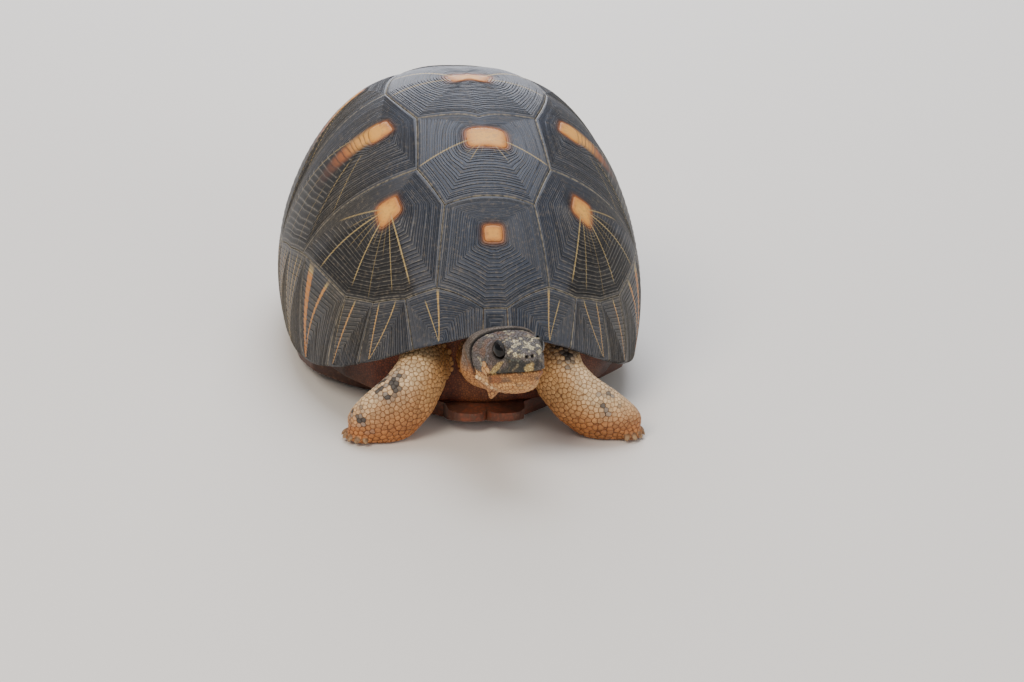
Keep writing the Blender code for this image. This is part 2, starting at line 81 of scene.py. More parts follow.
multiply = {"data_type": "RGBA", "blend_type": "MULTIPLY"}


def newMaterial(name):
    material = bpy.data.materials.new(name)
    material.use_nodes = True
    return material, material.node_tree, material.node_tree.nodes["Principled BSDF"]


# A closed mesh from arrays, its faces turned out: quads and triangles index into points
def meshObject(name, points, quads, triangles, material):
    points = np.asarray(points, np.float64)
    quads = np.asarray(quads, np.int32).reshape(-1, 4)
    triangles = np.asarray(triangles, np.int32).reshape(-1, 3)
    faces = points[np.concatenate([quads[:, :3], quads[:, (0, 2, 3)], triangles])]
    a, b, c = faces.transpose(1, 0, 2) - points.mean(0)
    if (a * np.cross(b, c)).sum() < 0:
        quads, triangles = quads[:, ::-1], triangles[:, ::-1]
    mesh = bpy.data.meshes.new(name)
    mesh.vertices.add(len(points))
    mesh.vertices.foreach_set("co", points.astype(np.float32).ravel())
    corners = np.concatenate([quads.ravel(), triangles.ravel()]).astype(np.int32)
    starts = np.concatenate([np.arange(len(quads)) * 4, len(quads) * 4 + np.arange(len(triangles)) * 3])
    mesh.loops.add(len(corners))
    mesh.loops.foreach_set("vertex_index", corners)
    mesh.polygons.add(len(starts))
    mesh.polygons.foreach_set("loop_start", starts.astype(np.int32))
    mesh.update(calc_edges=True)
    mesh.validate()
    mesh.polygons.foreach_set("use_smooth", np.ones(len(mesh.polygons), bool))
    mesh.materials.append(material)
    made = bpy.data.objects.new(name, mesh)
    bpy.context.scene.collection.objects.link(made)
    return made


def setAttribute(piece, name, values):
    values = np.asarray(values, np.float32)
    layer = piece.data.attributes.new(name, "FLOAT_VECTOR", "POINT")
    layer.data.foreach_set("vector", values.ravel())


# The camera stands low in front, a little to the tortoise's right.
view = {"position": (-0.2678, -1.7380, 0.7242), "aim": (0.0333, -0.0016, 0.0141), "roll": 3.216,
        "lens": 101.25}


def addCamera():
    position = Vector(view["position"])
    back = (position - Vector(view["aim"])).normalized()
    right = Vector((0, 0, 1)).cross(back).normalized()
    turned = Matrix((right, back.cross(right), back)).transposed()
    turned = turned @ Matrix.Rotation(math.radians(view["roll"]), 3, "Z")
    data = bpy.data.cameras.new("camera")
    data.lens = view["lens"]
    data.sensor_width = 36
    camera = bpy.data.objects.new("camera", data)
    camera.matrix_world = Matrix.Translation(position) @ turned.to_4x4()
    bpy.context.scene.collection.objects.link(camera)
    bpy.context.scene.camera = camera


# Light as in the open shade of a bright morning: a broad sky behind and above, a soft fill in front.
sky = {"color": "#e6e8ee", "strength": 0.5}
lights = {
    # name: (position, size, power, colour)
    "skyAbove": ((0.2, 0.9, 2.4), 2.0, 54, "#f2f5ff"),
    "skyBehind": ((0.15, 2.4, 1.0), 1.6, 40, "#f4f6ff"),
    "keyLeft": ((-1.4, -1.6, 2.2), 1.3, 56, "#fff2e2"),
    "fillFront": ((1.3, -2.3, 1.0), 1.8, 18, "#ffffff"),
}


def addLights():
    for name, (position, size, power, color) in lights.items():
        data = bpy.data.lights.new(name, "AREA")
        data.shape = "DISK"
        data.size = size
        data.energy = power
        data.color = linear(color)[:3]
        lamp = bpy.data.objects.new(name, data)
        aim = Vector((0, 0, 0.08)) - Vector(position)
        lamp.matrix_world = Matrix.Translation(position) @ aim.to_track_quat("-Z", "Y").to_matrix().to_4x4()
        bpy.context.scene.collection.objects.link(lamp)
    world = bpy.data.worlds.new("studio")
    bpy.context.scene.world = world
    world.use_nodes = True
    background = world.node_tree.nodes["Background"]
    background.inputs["Color"].default_value = linear(sky["color"])
    background.inputs["Strength"].default_value = sky["strength"]


def addFloor():
    bpy.ops.mesh.primitive_plane_add(size=14, location=(0, 2, 0))
    floor = bpy.context.object
    floor.name = "studioFloor"
    material, tree, shader = newMaterial("matt studio paper")
    grain = addNode(tree, "TexNoise", {"Scale": 6.0, "Detail": 3.0})
    tone = addNode(tree, "ValToRGB", {"Fac": grain}, [(0.3, "#e2ddd5"), (0.7, "#e8e4dc")])
    plug(tree, shader, {"Base Color": tone, "Roughness": 0.85})
    floor.data.materials.append(material)


# The shell's dome on a unit disc: (0, -1) is the front rim and (1, 0) the tortoise's own left.
shell = {
    "halfLength": 0.1585, "halfWidth": 0.1225, "crown": 0.1847,
    "frontRim": 0.0721, "sideRim": 0.0157, "rearRim": 0.045, "squareness": 2.3,
    "frontRisePower": 3.7, "rearRisePower": 2.5, "sideSteepness": 0.83, "endSteepness": 1.07,
    "heightPower": 1.03, "sideTuck": 0.07, "endFlare": 0.06, "rimZone": 0.28, "rimLimit": 0.995,
    "serration": 0.0025, "shelf": 0.007, "rimDrop": 0.0012, "wallFront": 0.137,
    "plastronThickness": 0.0055, "plastronFlat": 0.62, "bridgeTop": 0.021, "endRise": 0.0105,
    "lipStart": -0.154, "lipSlope": 0.32, "lipMost": 0.0042,
}
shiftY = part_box("trunk")[0].y + shell["wallFront"]  # where the dome's centre stands in the frame


def rimHeight(dy):
    front = (shell["frontRim"] - shell["sideRim"]) * np.maximum(-dy, 0) ** shell["frontRisePower"]
    rear = (shell["rearRim"] - shell["sideRim"]) * np.maximum(dy, 0) ** shell["rearRisePower"]
    return shell["sideRim"] + front + rear


def directions(disc):
    r = np.hypot(disc[:, 0], disc[:, 1])
    safe = np.maximum(r, 1e-9)
    return r, disc[:, 0] / safe, disc[:, 1] / safe


def planPoint(dx, dy, reach):
    power = shell["squareness"]
    squared = np.maximum((np.abs(dx) ** power + np.abs(dy) ** power) ** (1 / power), 1e-9)
    return shell["halfWidth"] * dx * reach / squared, shell["halfLength"] * dy * reach / squared + shiftY


def dome(disc):
    r, dx, dy = directions(disc)
    r = np.minimum(r, 1)
    bend = r * math.pi / 2
    reach = np.sin(bend) ** (shell["sideSteepness"] * dx * dx + shell["endSteepness"] * dy * dy)
    edge = np.maximum(0, (r - 1 + shell["rimZone"]) / shell["rimZone"]) ** 2
    reach = reach * (1 - edge * (shell["sideTuck"] * dx * dx - shell["endFlare"] * dy * dy))
    rim = rimHeight(dy)
    height = rim + (shell["crown"] - rim) * np.maximum(0, np.cos(bend)) ** shell["heightPower"]
    return np.stack([*planPoint(dx, dy, reach), height], 1)


def unit(vectors):
    return vectors / np.maximum(np.linalg.norm(vectors, axis=1, keepdims=True), 1e-12)


def domeNormal(disc):
    r = np.hypot(disc[:, 0], disc[:, 1])
    disc = disc * np.minimum(1, shell["rimLimit"] / np.maximum(r, 1e-9))[:, None]
    step = 0.004
    along = dome(disc + (step, 0)) - dome(disc - (step, 0))
    across = dome(disc + (0, step)) - dome(disc - (0, step))
    return unit(np.cross(along, across))


def onDisc(degrees, r=1.0):
    angle = np.radians(degrees)
    return np.stack([r * np.sin(angle), -r * np.cos(angle)], -1)


def underside(disc):
    r, dx, dy = directions(disc)
    r = np.minimum(r, 1)
    reach = r * (1 - shell["sideTuck"] * dx * dx * r ** 4)
    bridge = np.minimum(rimHeight(dy), shell["bridgeTop"]) - shell["plastronThickness"] - 0.6 * mm
    rise = bridge + (shell["endRise"] - bridge) * dy ** 4
    lifted = np.maximum(0, (r - shell["plastronFlat"]) / (1 - shell["plastronFlat"])) ** 2
    return np.stack([*planPoint(dx, dy, reach), rise * lifted], 1)


# A plate's place on the shell: place(points, depth) turns its flat plan into its curved slab.
plateBuild = {
    "thickness": 3.6 * mm, "step": 2.3, "seamInset": 0.0009,
    "samples": ((0, -1), (0.3, -0.1), (0.6, 0.1), (0.85, 1)),  # over one ring: (place, from groove to crest)
    "grooveDepth": 0.30, "crestHeight": 0.13, "ringContrast": (0.3, 1.1), "wobble": 0.0035,
    "edgeRows": (1.3, 0.7, 0.3, 0.0), "edgeDrops": (0.0, 0.05, 0.2, 0.6), "edgeFade": 3,
    "areolaRows": ((0.35, 0.15), (0.7, 0.25), (0.93, 0.2)), "areolaMost": 0.45, "areolaPower": 5,
    "areolaPull": 0.2, "haloFade": 6, "fanFade": 5,
}


def carapacePlace(points, depth):
    return dome(points) - domeNormal(points) * plateBuild["thickness"] * depth


def plastronPlace(points, depth):
    low = underside(points)
    back = low[:, 1] - shiftY - shell["lipStart"]
    lip = np.clip(back * shell["lipSlope"], 0, shell["lipMost"])
    return low + np.array((0, 0, 1)) * (shell["plastronThickness"] + lip)[:, None] * depth


def inset(corners, amount):
    moved = []
    count = len(corners)
    for i in range(count):
        sideIn = unit((corners[i] - corners[i - 1])[None])[0]
        sideOut = unit((corners[(i + 1) % count] - corners[i])[None])[0]
        normals = np.array((-sideIn[1] - sideOut[1], sideIn[0] + sideOut[0]))
        moved.append(corners[i] + normals * amount / (1 + sideIn @ sideOut))
    return np.array(moved)


def counterclockwise(corners):
    corners = np.array(corners, float)
    following = np.roll(corners, -1, 0)
    area = (corners[:, 0] * following[:, 1] - corners[:, 1] * following[:, 0]).sum()
    return corners if area > 0 else corners[::-1].copy()


# How far each direction from centre runs before it meets the outline
def reachOf(outline, centre, headings):
    following = np.roll(outline, -1, 0)
    side = following - outline
    start = outline - centre
    turn = headings[:, None, 0] * side[None, :, 1] - headings[:, None, 1] * side[None, :, 0]
    turn = np.where(np.abs(turn) < 1e-12, 1e-12, turn)
    distance = (start[:, 0] * side[:, 1] - start[:, 1] * side[:, 0])[None] / turn
    share = (start[None, :, 0] * headings[:, None, 1] - start[None, :, 1] * headings[:, None, 0]) / turn
    hit = (distance > 1e-6) & (share > -1e-6) & (share < 1 + 1e-6)
    return np.where(hit, distance, 1e9).min(1)


def columnHeadings(outline, centre, scale, rays):
    angles = []
    for a, b in zip(outline, np.roll(outline, -1, 0)):
        pieces = max(1, math.ceil(np.linalg.norm((b - a) * scale) / plateBuild["step"]))
        for k in range(pieces):
            x, y = a + (b - a) * k / pieces - centre
            angles.append((math.atan2(y, x), 0 if k else 1))
    for heading, halfWidth, *_ in rays:
        reach = reachOf(outline, centre, heading[None])[0] * np.linalg.norm(heading * scale)
        for turn in (-2.5, -1, 0, 1, 2.5):
            angles.append((math.atan2(heading[1], heading[0]) + turn * halfWidth / reach, 2))
    angles = sorted((angle % math.tau, rank) for angle, rank in angles)
    kept = [angles[0]]
    for angle, rank in angles[1:]:
        if angle - kept[-1][0] > 0.006:
            kept.append((angle, rank))
        elif rank > kept[-1][1]:
            kept[-1] = (angle, rank)
    turns = np.array([angle for angle, _ in kept])
    return np.stack([np.cos(turns), np.sin(turns)], 1)


# The rows of one plate from its areola out to its seam: (share within the areola, share of the
# growth zone, millimetres in from the seam, relief, line, tone)
def plateRows(rings, rng):
    widths = [rng.uniform(0.75, 1.3) * (1.15 if 0.2 < k / rings < 0.8 else 0.85) for k in range(rings)]
    edges = np.concatenate([[0], np.cumsum(widths)]) / sum(widths)
    rows = [(core, None, None, relief, 0, 0.5) for core, relief in plateBuild["areolaRows"]]
    for k in range(rings):
        tone = rng.random()
        for phase, line in plateBuild["samples"]:
            relief = plateBuild["grooveDepth"] * min(line, 0) + plateBuild["crestHeight"] * max(line, 0)
            rows.append((None, edges[k] + (edges[k + 1] - edges[k]) * phase, None, relief, line, tone))
    for back, drop in zip(plateBuild["edgeRows"], plateBuild["edgeDrops"]):
        rows.append((None, None, back, -drop, 0, 0.6))
    return rows


# What a row of points carries of the rays: (nearness to a ray's middle, its brightness, nearness to a band's)
def rayMarks(rays, headings, scale, stretch, rho, t, tapered):
    ray, rayTone, band = np.full(len(rho), -1.0), np.zeros(len(rho)), np.full(len(rho), -1.0)
    for heading, halfWidth, bright, startAt, endAt, isBand in rays:
        off = rho * stretch * (headings[:, 0] * heading[1] - headings[:, 1] * heading[0])
        off = off * np.linalg.norm(heading * scale) / stretch
        width = halfWidth * (0.35 + 0.65 * t if tapered else 1)
        near = np.where((headings @ heading) > 0, 1 - np.abs(off) / width, -1)
        if isBand:
            band = np.maximum(band, near)
            continue
        fade = np.clip((t - startAt) * 12 + 1, 0, 1) * np.clip((endAt - t) * 8, 0, 1)
        rayTone = np.where(near > ray, bright * fade, rayTone)
        ray = np.maximum(ray, near)
    return np.clip(ray, -1, 1), rayTone, np.clip(band, -1, 1)


# How much of a row lies in the dark fan between two directions, in degrees
def fanMark(fan, headings, t):
    if not fan:
        return np.zeros(len(t))
    degrees = np.degrees(np.arctan2(headings[:, 0], -headings[:, 1]))
    within = np.clip((degrees - fan[0]) / plateBuild["fanFade"], 0, 1)
    within = within * np.clip((fan[1] - degrees) / plateBuild["fanFade"], 0, 1)
    return within * np.clip(t * 4 + 0.3, 0, 1)


# Outward directions of a place's surface
def outwardOf(place, points, scale):
    step = 1e-3 * min(1, 60 / max(scale)) if max(scale) > 10 else 0.2
    along = place(points + (step, 0), 0) - place(points - (step, 0), 0)
    across = place(points + (0, step), 0) - place(points - (0, step), 0)
    normals = unit(np.cross(along, across))
    inward = place(points, 1) - place(points, 0)
    normals[(normals * inward).sum(1) > 0] *= -1
    return normals


# Faces of a closed slab: rows of count points, then one in the middle of its top and one of its bottom
def slabFaces(rows, count):
    ringAt = np.arange(rows - 1)[:, None] * count
    here, there = np.arange(count)[None], (np.arange(count)[None] + 1) % count
    quads = [ringAt + here, ringAt + here + count, ringAt + there + count, ringAt + there]
    ends, last = np.arange(count), (rows - 1) * count
    topFan = np.stack([np.full(count, rows * count), ends, (ends + 1) % count], 1)
    bottomFan = np.stack([np.full(count, rows * count + 1), last + (ends + 1) % count, last + ends], 1)
    return np.stack(quads, -1).reshape(-1, 4), np.concatenate([topFan, bottomFan])


# How far each direction runs inside the areola, a rounded square drawn out towards spec["point"]
def areolaReach(spec, headings, scale, reach):
    power = plateBuild["areolaPower"]
    inner = 1 / ((np.abs(headings * scale) / spec["areola"]) ** power).sum(1) ** (1 / power)
    if spec["fan"]:
        inner = inner * (1 + plateBuild["areolaPull"] * (unit(headings * scale) @ headingOf(spec["point"])))
    return np.minimum(inner, plateBuild["areolaMost"] * reach)


# Builds one horny plate: a closed slab with growth rings, and what its material reads.
def addPlate(name, place, outline, centre, scale, spec, material, mirror, seed):
    rng = random.Random(seed)
    centre = np.array(centre, float)
    rays = [(np.array(ray[0], float), *ray[1:]) for ray in spec["rays"]]
    headings = columnHeadings(outline, centre, scale, rays)
    reach = reachOf(outline, centre, headings)
    stretch = np.linalg.norm(headings * scale, axis=1)
    inner = areolaReach(spec, headings, scale, reach)
    turns = np.arctan2(headings[:, 1], headings[:, 0])
    growth = (reach - inner) * stretch  # millimetres from the areola to the seam
    faint, strong = plateBuild["ringContrast"]  # crowded rings blur
    contrast = np.clip((growth / spec["rings"] - faint) / (strong - faint), 0, 1)
    waves = [(rng.randint(2, 7), rng.uniform(0, math.tau), rng.uniform(0, 9)) for _ in range(3)]
    last = np.maximum(1 - (plateBuild["edgeRows"][0] + 0.4) / growth, 0.55)
    parts, attributes = [], []
    for index, (core, share, back, relief, line, tone) in enumerate(plateRows(spec["rings"], rng)):
        if core is not None:
            rho = inner * core
        elif share is not None:
            wobble = sum(np.sin(m * turns + p + index * q / 4) for m, p, q in waves) * plateBuild["wobble"]
            rho = inner + (reach - inner) * (share * last + wobble * min(share * 8, 1) * (1 - share))
        else:
            rho = inner + (reach - inner) * np.maximum(1 - back / growth, last)
        points = centre + headings * rho[:, None]
        strength = contrast * (1 + 0.25 * np.sin(5 * turns + index)) if line else 1
        lift = spec["hump"] * (1 - (rho / reach) ** 2) + relief * mm * strength
        parts.append(place(points, 0) + outwardOf(place, points, scale) * lift[:, None])
        t = (rho - inner) / (reach - inner)
        edge = np.clip((reach - rho) * stretch / plateBuild["edgeFade"], 0, 1)
        halo = np.clip((inner - rho) * stretch / plateBuild["haloFade"], -1, 1)
        if not spec["areolaTone"]:
            halo = t * 0 - 1
        attributes.append(np.stack([
            line * contrast, t * 0 + tone, edge,
            *rayMarks(rays, headings, scale, stretch, rho, t, not spec["areolaTone"]),
            halo, fanMark(spec["fan"], headings, t), np.clip(t, 0, 1)], 1))
    rim = centre + headings * reach[:, None]
    for share, depth in ((1, 0.5), (1, 1), (0.6, 1), (0.25, 1)):  # down the seam's wall and in underneath
        parts.append(place(centre + (rim - centre) * share, depth))
        attributes.append(attributes[-1])
    top, bottom = place(centre[None], 0), place(centre[None], 1)
    points = np.concatenate(parts + [top + unit(top - bottom) * spec["hump"], bottom])
    points[:, 2] = np.maximum(points[:, 2], 0)  # none reaches below the floor
    if mirror:
        points = points * (-1, 1, 1)
    piece = meshObject(name, points, *slabFaces(len(parts), len(headings)), material)
    values = np.concatenate(attributes + [attributes[0][:1], attributes[-1][:1]])
    for k, layer in enumerate(("growth", "rays", "centre")):
        setAttribute(piece, layer, values[:, 3 * k:3 * k + 3])
    piece.data.set_sharp_from_angle(angle=math.radians(60))
    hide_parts(name.replace("Plate", ""))
    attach(piece, "root")


# Growth-zone patterns. A ray is (degrees from straight ahead towards the side, half width in mm, brightness,
# where it starts and ends between areola and seam, True for a broad band). Over 1 it turns orange.
vertebrals = {
    # name: (left half of the seam, areola, hump, areola half size in mm, rings, rays)
    "vertebral_1": (((0, -0.907), (0.052, -0.907), (0.238, -0.785), (0.165, -0.540), (0, -0.546)),
                    (0, -0.672), 2.0, (5.6, 5.2), 19, ()),
    "vertebral_2": (((0, -0.546), (0.165, -0.540), (0.228, -0.377), (0.184, -0.179), (0, -0.249)),
                    (0.012, -0.343), 2.0, (12.4, 8.8), 19,
                    ((83, 0.55, 0.7, 0, 1), (40, 0.4, 0.6, 0, 0.32), (54, 0.35, 0.45, 0, 0.22),
                     (24, 0.3, 0.3, 0, 0.2))),
    "vertebral_3": (((0, -0.249), (0.184, -0.179), (0.235, 0.0), (0.180, 0.180), (0, 0.205)),
                    (0, -0.032), 2.5, (8.5, 5.0), 22,
                    ((90, 0.6, 0.5, 0, 1), (120, 0.6, 0.8, 0, 1))),
    "vertebral_4": (((0, 0.205), (0.180, 0.180), (0.220, 0.360), (0.130, 0.520), (0, 0.520)),
                    (0, 0.345), 3.0, (9.0, 6.0), 18,
                    ((52, 0.7, 0.8, 0, 1), (84, 0.7, 0.8, 0, 1), (106, 0.5, 0.6, 0, 0.8),
                     (134, 0.7, 0.9, 0, 1))),
    "vertebral_5": (((0, 0.520), (0.130, 0.520), (0.302, 0.758), (0.158, 0.815), (0, 0.830)),
                    (0, 0.675), 3.5, (7.0, 5.5), 16,
                    ((180, 0.6, 0.8, 0, 1), (160, 0.7, 0.8, 0, 1), (140, 0.6, 0.7, 0, 1),
                     (118, 0.8, 0.9, 0, 1), (98, 0.5, 0.7, 0, 1), (70, 0.6, 0.7, 0, 0.8))),
}
costals = {
    # pattern: (seam, areola, hump, areola half size in mm, rings, rays, fan)
    "costal_{}_1": (((0.165, -0.540), (0.238, -0.785), (0.361, -0.750), (0.477, -0.673),
                     (0.5685, -0.5685), (0.6718, -0.2907), (0.6847, -0.2620), (0.228, -0.377)),
                    (0.337, -0.452), 1.5, (8.2, 7.4), 21,
                    ((122, 0.6, 0.6, 0, 0.55), (110, 0.3, 0.4, 0.05, 0.4), (101, 0.6, 0.8, 0, 1),
                     (90, 0.3, 0.5, 0, 0.55), (78, 0.35, 0.5, 0, 0.5), (60, 0.6, 0.85, 0, 0.86),
                     (50, 0.25, 0.4, 0, 0.3), (38, 0.35, 0.45, 0.05, 1), (26, 0.25, 0.4, 0, 0.45),
                     (14.5, 0.4, 0.65, 0, 0.92), (-1, 0.65, 0.85, 0, 0.86)), (-6, 112)),
    "costal_{}_2": (((0.228, -0.377), (0.6847, -0.2620), (0.7435, -0.1311), (0.7889, 0.0413),
                     (0.7878, 0.0699), (0.235, 0.0), (0.184, -0.179)),
                    (0.290, -0.165), 1.5, (7.5, 7.5), 22,
                    ((96, 8.0, 1, 0, 1, True), (60, 0.45, 0.5, 0.25, 1), (74, 0.5, 0.6, 0.3, 1),
                     (112, 0.5, 0.6, 0.18, 1), (86, 0.35, 0.5, 0.55, 1), (100, 0.4, 0.5, 0.5, 1)), (66, 116)),
    "costal_{}_3": (((0.235, 0.0), (0.7878, 0.0699), (0.7814, 0.2315), (0.7114, 0.4275),
                     (0.220, 0.360), (0.180, 0.180)),
                    (0.320, 0.160), 1.5, (5.5, 5.0), 20,
                    ((88, 6.0, 1, 0, 1, True), (66, 0.5, 0.7, 0, 1), (77, 0.45, 0.6, 0.2, 1),
                     (99, 0.5, 0.7, 0.15, 1), (110, 0.7, 0.85, 0, 1), (124, 0.5, 0.6, 0, 0.9)), (62, 128)),
    "costal_{}_4": (((0.220, 0.360), (0.7114, 0.4275), (0.5645, 0.5948), (0.3786, 0.7273),
                     (0.302, 0.758), (0.130, 0.520)),
                    (0.355, 0.485), 2.0, (6.0, 5.5), 18,
                    ((84, 0.7, 0.8, 0, 1), (98, 0.5, 0.6, 0, 1), (112, 0.8, 0.9, 0, 1),
                     (127, 0.5, 0.6, 0, 1), (142, 0.8, 0.9, 0, 1), (160, 0.5, 0.7, 0, 1)), (78, 168)),
}
marginals = {
    "arcs": (3.5, 21.9, 37.7, 49.5, 63.0, 77.5, 92.0, 106.5, 121.0, 136.5, 152.5, 169.0),
    "tops": (0.9075, 0.832, 0.825, 0.804, 0.732, 0.755, 0.79, 0.815, 0.83, 0.82, 0.82, 0.83),
    "topArcs": (3.3, 25.7, 35.3, 45.0, 66.6, 80.0, 93.0, 106.5, 121.0, 136.5, 152.5, 169.0),
    "rings": 18,
    "centres": {1: 0.62, 2: 0.80, 3: 0.80, 4: 0.82},  # where the rays meet, along the rim
    # (where the ray meets the upper seam, half width in mm, brightness, start, end)
    "rays": {1: ((0.49, 0.9, 1.1, 0, 1), (0.73, 0.6, 0.9, 0, 0.85)),
             2: ((0.28, 0.8, 1.1, 0, 1), (0.80, 1.0, 1.2, 0, 1)),
             3: ((0.60, 1.1, 1.3, 0, 1), (0.97, 0.4, 0.5, 0, 1)),
             4: ((0.80, 3.0, 1.5, 0, 1), (0.36, 1.2, 1.4, 0, 1)),
             5: ((0.15, 0.6, 1.1, 0, 1), (0.4, 0.9, 1.1, 0, 1), (0.66, 0.5, 0.8, 0, 1),
                 (0.9, 0.9, 1.1, 0, 1))},
    "sideRays": ((0.1, 0.7, 1.1, 0, 1), (0.34, 1.0, 1.2, 0, 1), (0.6, 0.5, 0.8, 0, 1),
                 (0.86, 1.0, 1.2, 0, 1)),
    "middleRays": ((0.2, 0.8, 1.1, 0, 1), (0.38, 0.6, 0.9, 0, 1), (0.62, 0.6, 0.9, 0, 1),
                   (0.8, 0.8, 1.1, 0, 1)),
}
plastron = {
    "gular_{}": ((0, -0.935), (0.025, -0.960), (0.060, -0.978), (0.100, -0.982), (0.140, -0.975),
                 (0.170, -0.958), (0.195, -0.930), (0.205, -0.850), (0, -0.660)),
    "humeral_{}": ((0, -0.660), (0.205, -0.850), (0.370, -0.700), (0.520, -0.510), (0, -0.420)),
    "pectoral_{}": ((0, -0.420), (0.520, -0.510), (0.840, -0.440), (0.915, -0.310), (0, -0.300)),
    "abdominal_{}": ((0, -0.300), (0.915, -0.310), (0.965, 0.0), (0.900, 0.340), (0.620, 0.420),
                     (0, 0.290)),
    "femoral_{}": ((0, 0.290), (0.620, 0.420), (0.520, 0.620), (0.360, 0.740), (0, 0.600)),
    "anal_{}": ((0, 0.600), (0.360, 0.740), (0.300, 0.860), (0.130, 0.900), (0, 0.800)),
}


def headingOf(degrees):
    return math.sin(math.radians(degrees)), -math.cos(math.radians(degrees))


def rayList(rays):
    return [(headingOf(ray[0]), *ray[1:5], len(ray) > 5) for ray in rays]


# Millimetres per disc unit round a point, along X and along Y
def discScale(place, centre):
    step = 0.01
    shifts = np.array(((step, 0), (-step, 0), (0, step), (0, -step))) + centre
    a, b, c, d = place(shifts, 0)
    return np.array((np.linalg.norm(a - b), np.linalg.norm(c - d))) / (2 * step) / mm


def addCarapace(material):
    for name, (half, areola, hump, size, rings, rays) in vertebrals.items():
        left = np.array(half)
        outline = counterclockwise(np.concatenate([left, left[-2:0:-1] * (-1, 1)]))
        outline = inset(outline, plateBuild["seamInset"])
        both = rayList(rays) + rayList([(-ray[0], *ray[1:]) for ray in rays if ray[0] != 180])
        spec = {"hump": hump * mm, "areola": size, "rings": rings, "rays": both, "fan": None, "point": 0,
                "areolaTone": True, "slot": "shell_horn"}
        addPlate(name + "Plate", carapacePlace, outline, areola, discScale(carapacePlace, areola), spec,
                 material, False, name)
    for pattern, (seam, areola, hump, size, rings, rays, fan) in costals.items():
        outline = inset(counterclockwise(seam), plateBuild["seamInset"])
        spec = {"hump": hump * mm, "areola": size, "rings": rings, "rays": rayList(rays), "fan": fan,
                "point": 45, "areolaTone": True, "slot": "shell_horn"}
        for side in ("left", "right"):
            addPlate(pattern.format(side) + "Plate", carapacePlace, outline, areola,
                     discScale(carapacePlace, areola), spec, material, side == "right", pattern + side)


def shelfWidth(dy):
    return shell["shelf"] * (0.25 + 0.75 * np.minimum(1, np.abs(dy) / 0.75) ** 4)


# A marginal's plan in millimetres: x runs back along the rim, y down from the upper seam and then in
# under the rim. Returns its place function and its size.
def marginalPlan(top, start, end):
    margin = math.degrees(plateBuild["seamInset"])
    start, end = start + margin, end - margin
    middle = onDisc(np.array([(start + end) / 2]))
    face = np.linspace(0, 1, 9)[:, None]
    down = dome(top[1] + (middle - top[1]) * face)
    drop = np.linalg.norm(np.diff(down, axis=0), axis=1).sum() / mm
    rim = dome(onDisc(np.linspace(start, end, 9)))
    width = np.linalg.norm(np.diff(rim, axis=0), axis=1).sum() / mm
    tuck = float(shelfWidth(middle[:, 1])[0]) / mm

    def place(points, depth):
        a = points[:, 0] / width
        b = np.where(points[:, 1] < drop, points[:, 1] / drop, 1 + (points[:, 1] - drop) / tuck)
        a = 0.5 + (a - 0.5) * (1 - 0.05 * depth)
        half = (a > 0.5)[:, None]
        share = np.where(a > 0.5, a * 2 - 1, a * 2)[:, None]
        upper = np.where(half, top[1] + (top[2] - top[1]) * share, top[0] + (top[1] - top[0]) * share)
        lower = onDisc(start + (end - start) * a)
        bulge = shell["serration"] * (1 - (2 * a - 1) ** 2) * np.abs(lower[:, 1]) ** 2
        outward = np.stack([lower[:, 0], lower[:, 1], a * 0], 1) * bulge[:, None]
        rim, normal = dome(lower), domeNormal(lower)
        inward = unit((rim - (0, shiftY, 0)) * (-1, -1, 0))

        def outer(b):
            b = np.clip(b, 0, 1)[:, None]
            spot = upper + (lower - upper) * b
            thick = plateBuild["thickness"] * depth * (1 - b ** 4)
            return dome(spot) + outward * b ** 5 - domeNormal(spot) * thick

        def under(b):
            turned = (np.clip(b, 1, 2) - 1)[:, None]
            edge = rim + outward * (1 - turned)
            sunk = (inward * shelfWidth(lower[:, 1])[:, None] - (0, 0, shell["rimDrop"])) * turned
            thick = (np.array((0, 0, 0.35)) - normal * 1.1) * (1 - turned)
            thick = thick + unit(np.array((0, 0, 1)) - normal * 0.3) * 0.8 * turned
            return edge + sunk + thick * plateBuild["thickness"] * depth

        before, after = 1 - 2.4 / drop, 1 + min(2.4 / tuck, 0.9)
        turn = np.clip((b - before) / (after - before), 0, 1)[:, None]
        curve = (1 - turn) ** 2 * outer(b * 0 + before) + 2 * turn * (1 - turn) * under(b * 0 + 1)
        curve = curve + turn ** 2 * under(b * 0 + after)
        return np.where((b < before)[:, None], outer(b), np.where((b > after)[:, None], under(b), curve))

    return place, width, drop, tuck


def addMarginal(name, top, start, end, rays, centreShare, material, mirror):
    top = np.array(top, float)
    along = unit((top[2] - top[0])[None])[0] * plateBuild["seamInset"]
    outward = np.array((-along[1], along[0]))
    if outward @ top[1] < 0:
        outward = -outward
    top = np.array((top[0] + along + outward, top[1] + outward, top[2] - along + outward))
    place, width, drop, tuck = marginalPlan(top, start, end)
    outline = counterclockwise(((0, 0), (width / 2, 0), (width, 0), (width, drop), (width, drop + tuck),
                                (0, drop + tuck), (0, drop)))
    centre = np.array((centreShare * width, drop - 1.6))
    aimed = [(unit((np.array((ray[0] * width, 0.0)) - centre)[None])[0], *ray[1:5], False) for ray in rays]
    rings = 6 if name.startswith("nuchal") else marginals["rings"]
    spec = {"hump": 0.0, "areola": (1.6, 1.2), "rings": rings, "rays": aimed, "fan": None, "point": 0,
            "areolaTone": False, "slot": "shell_horn"}
    addPlate(name, place, outline, centre, np.array((1.0, 1.0)), spec, material, mirror, name)


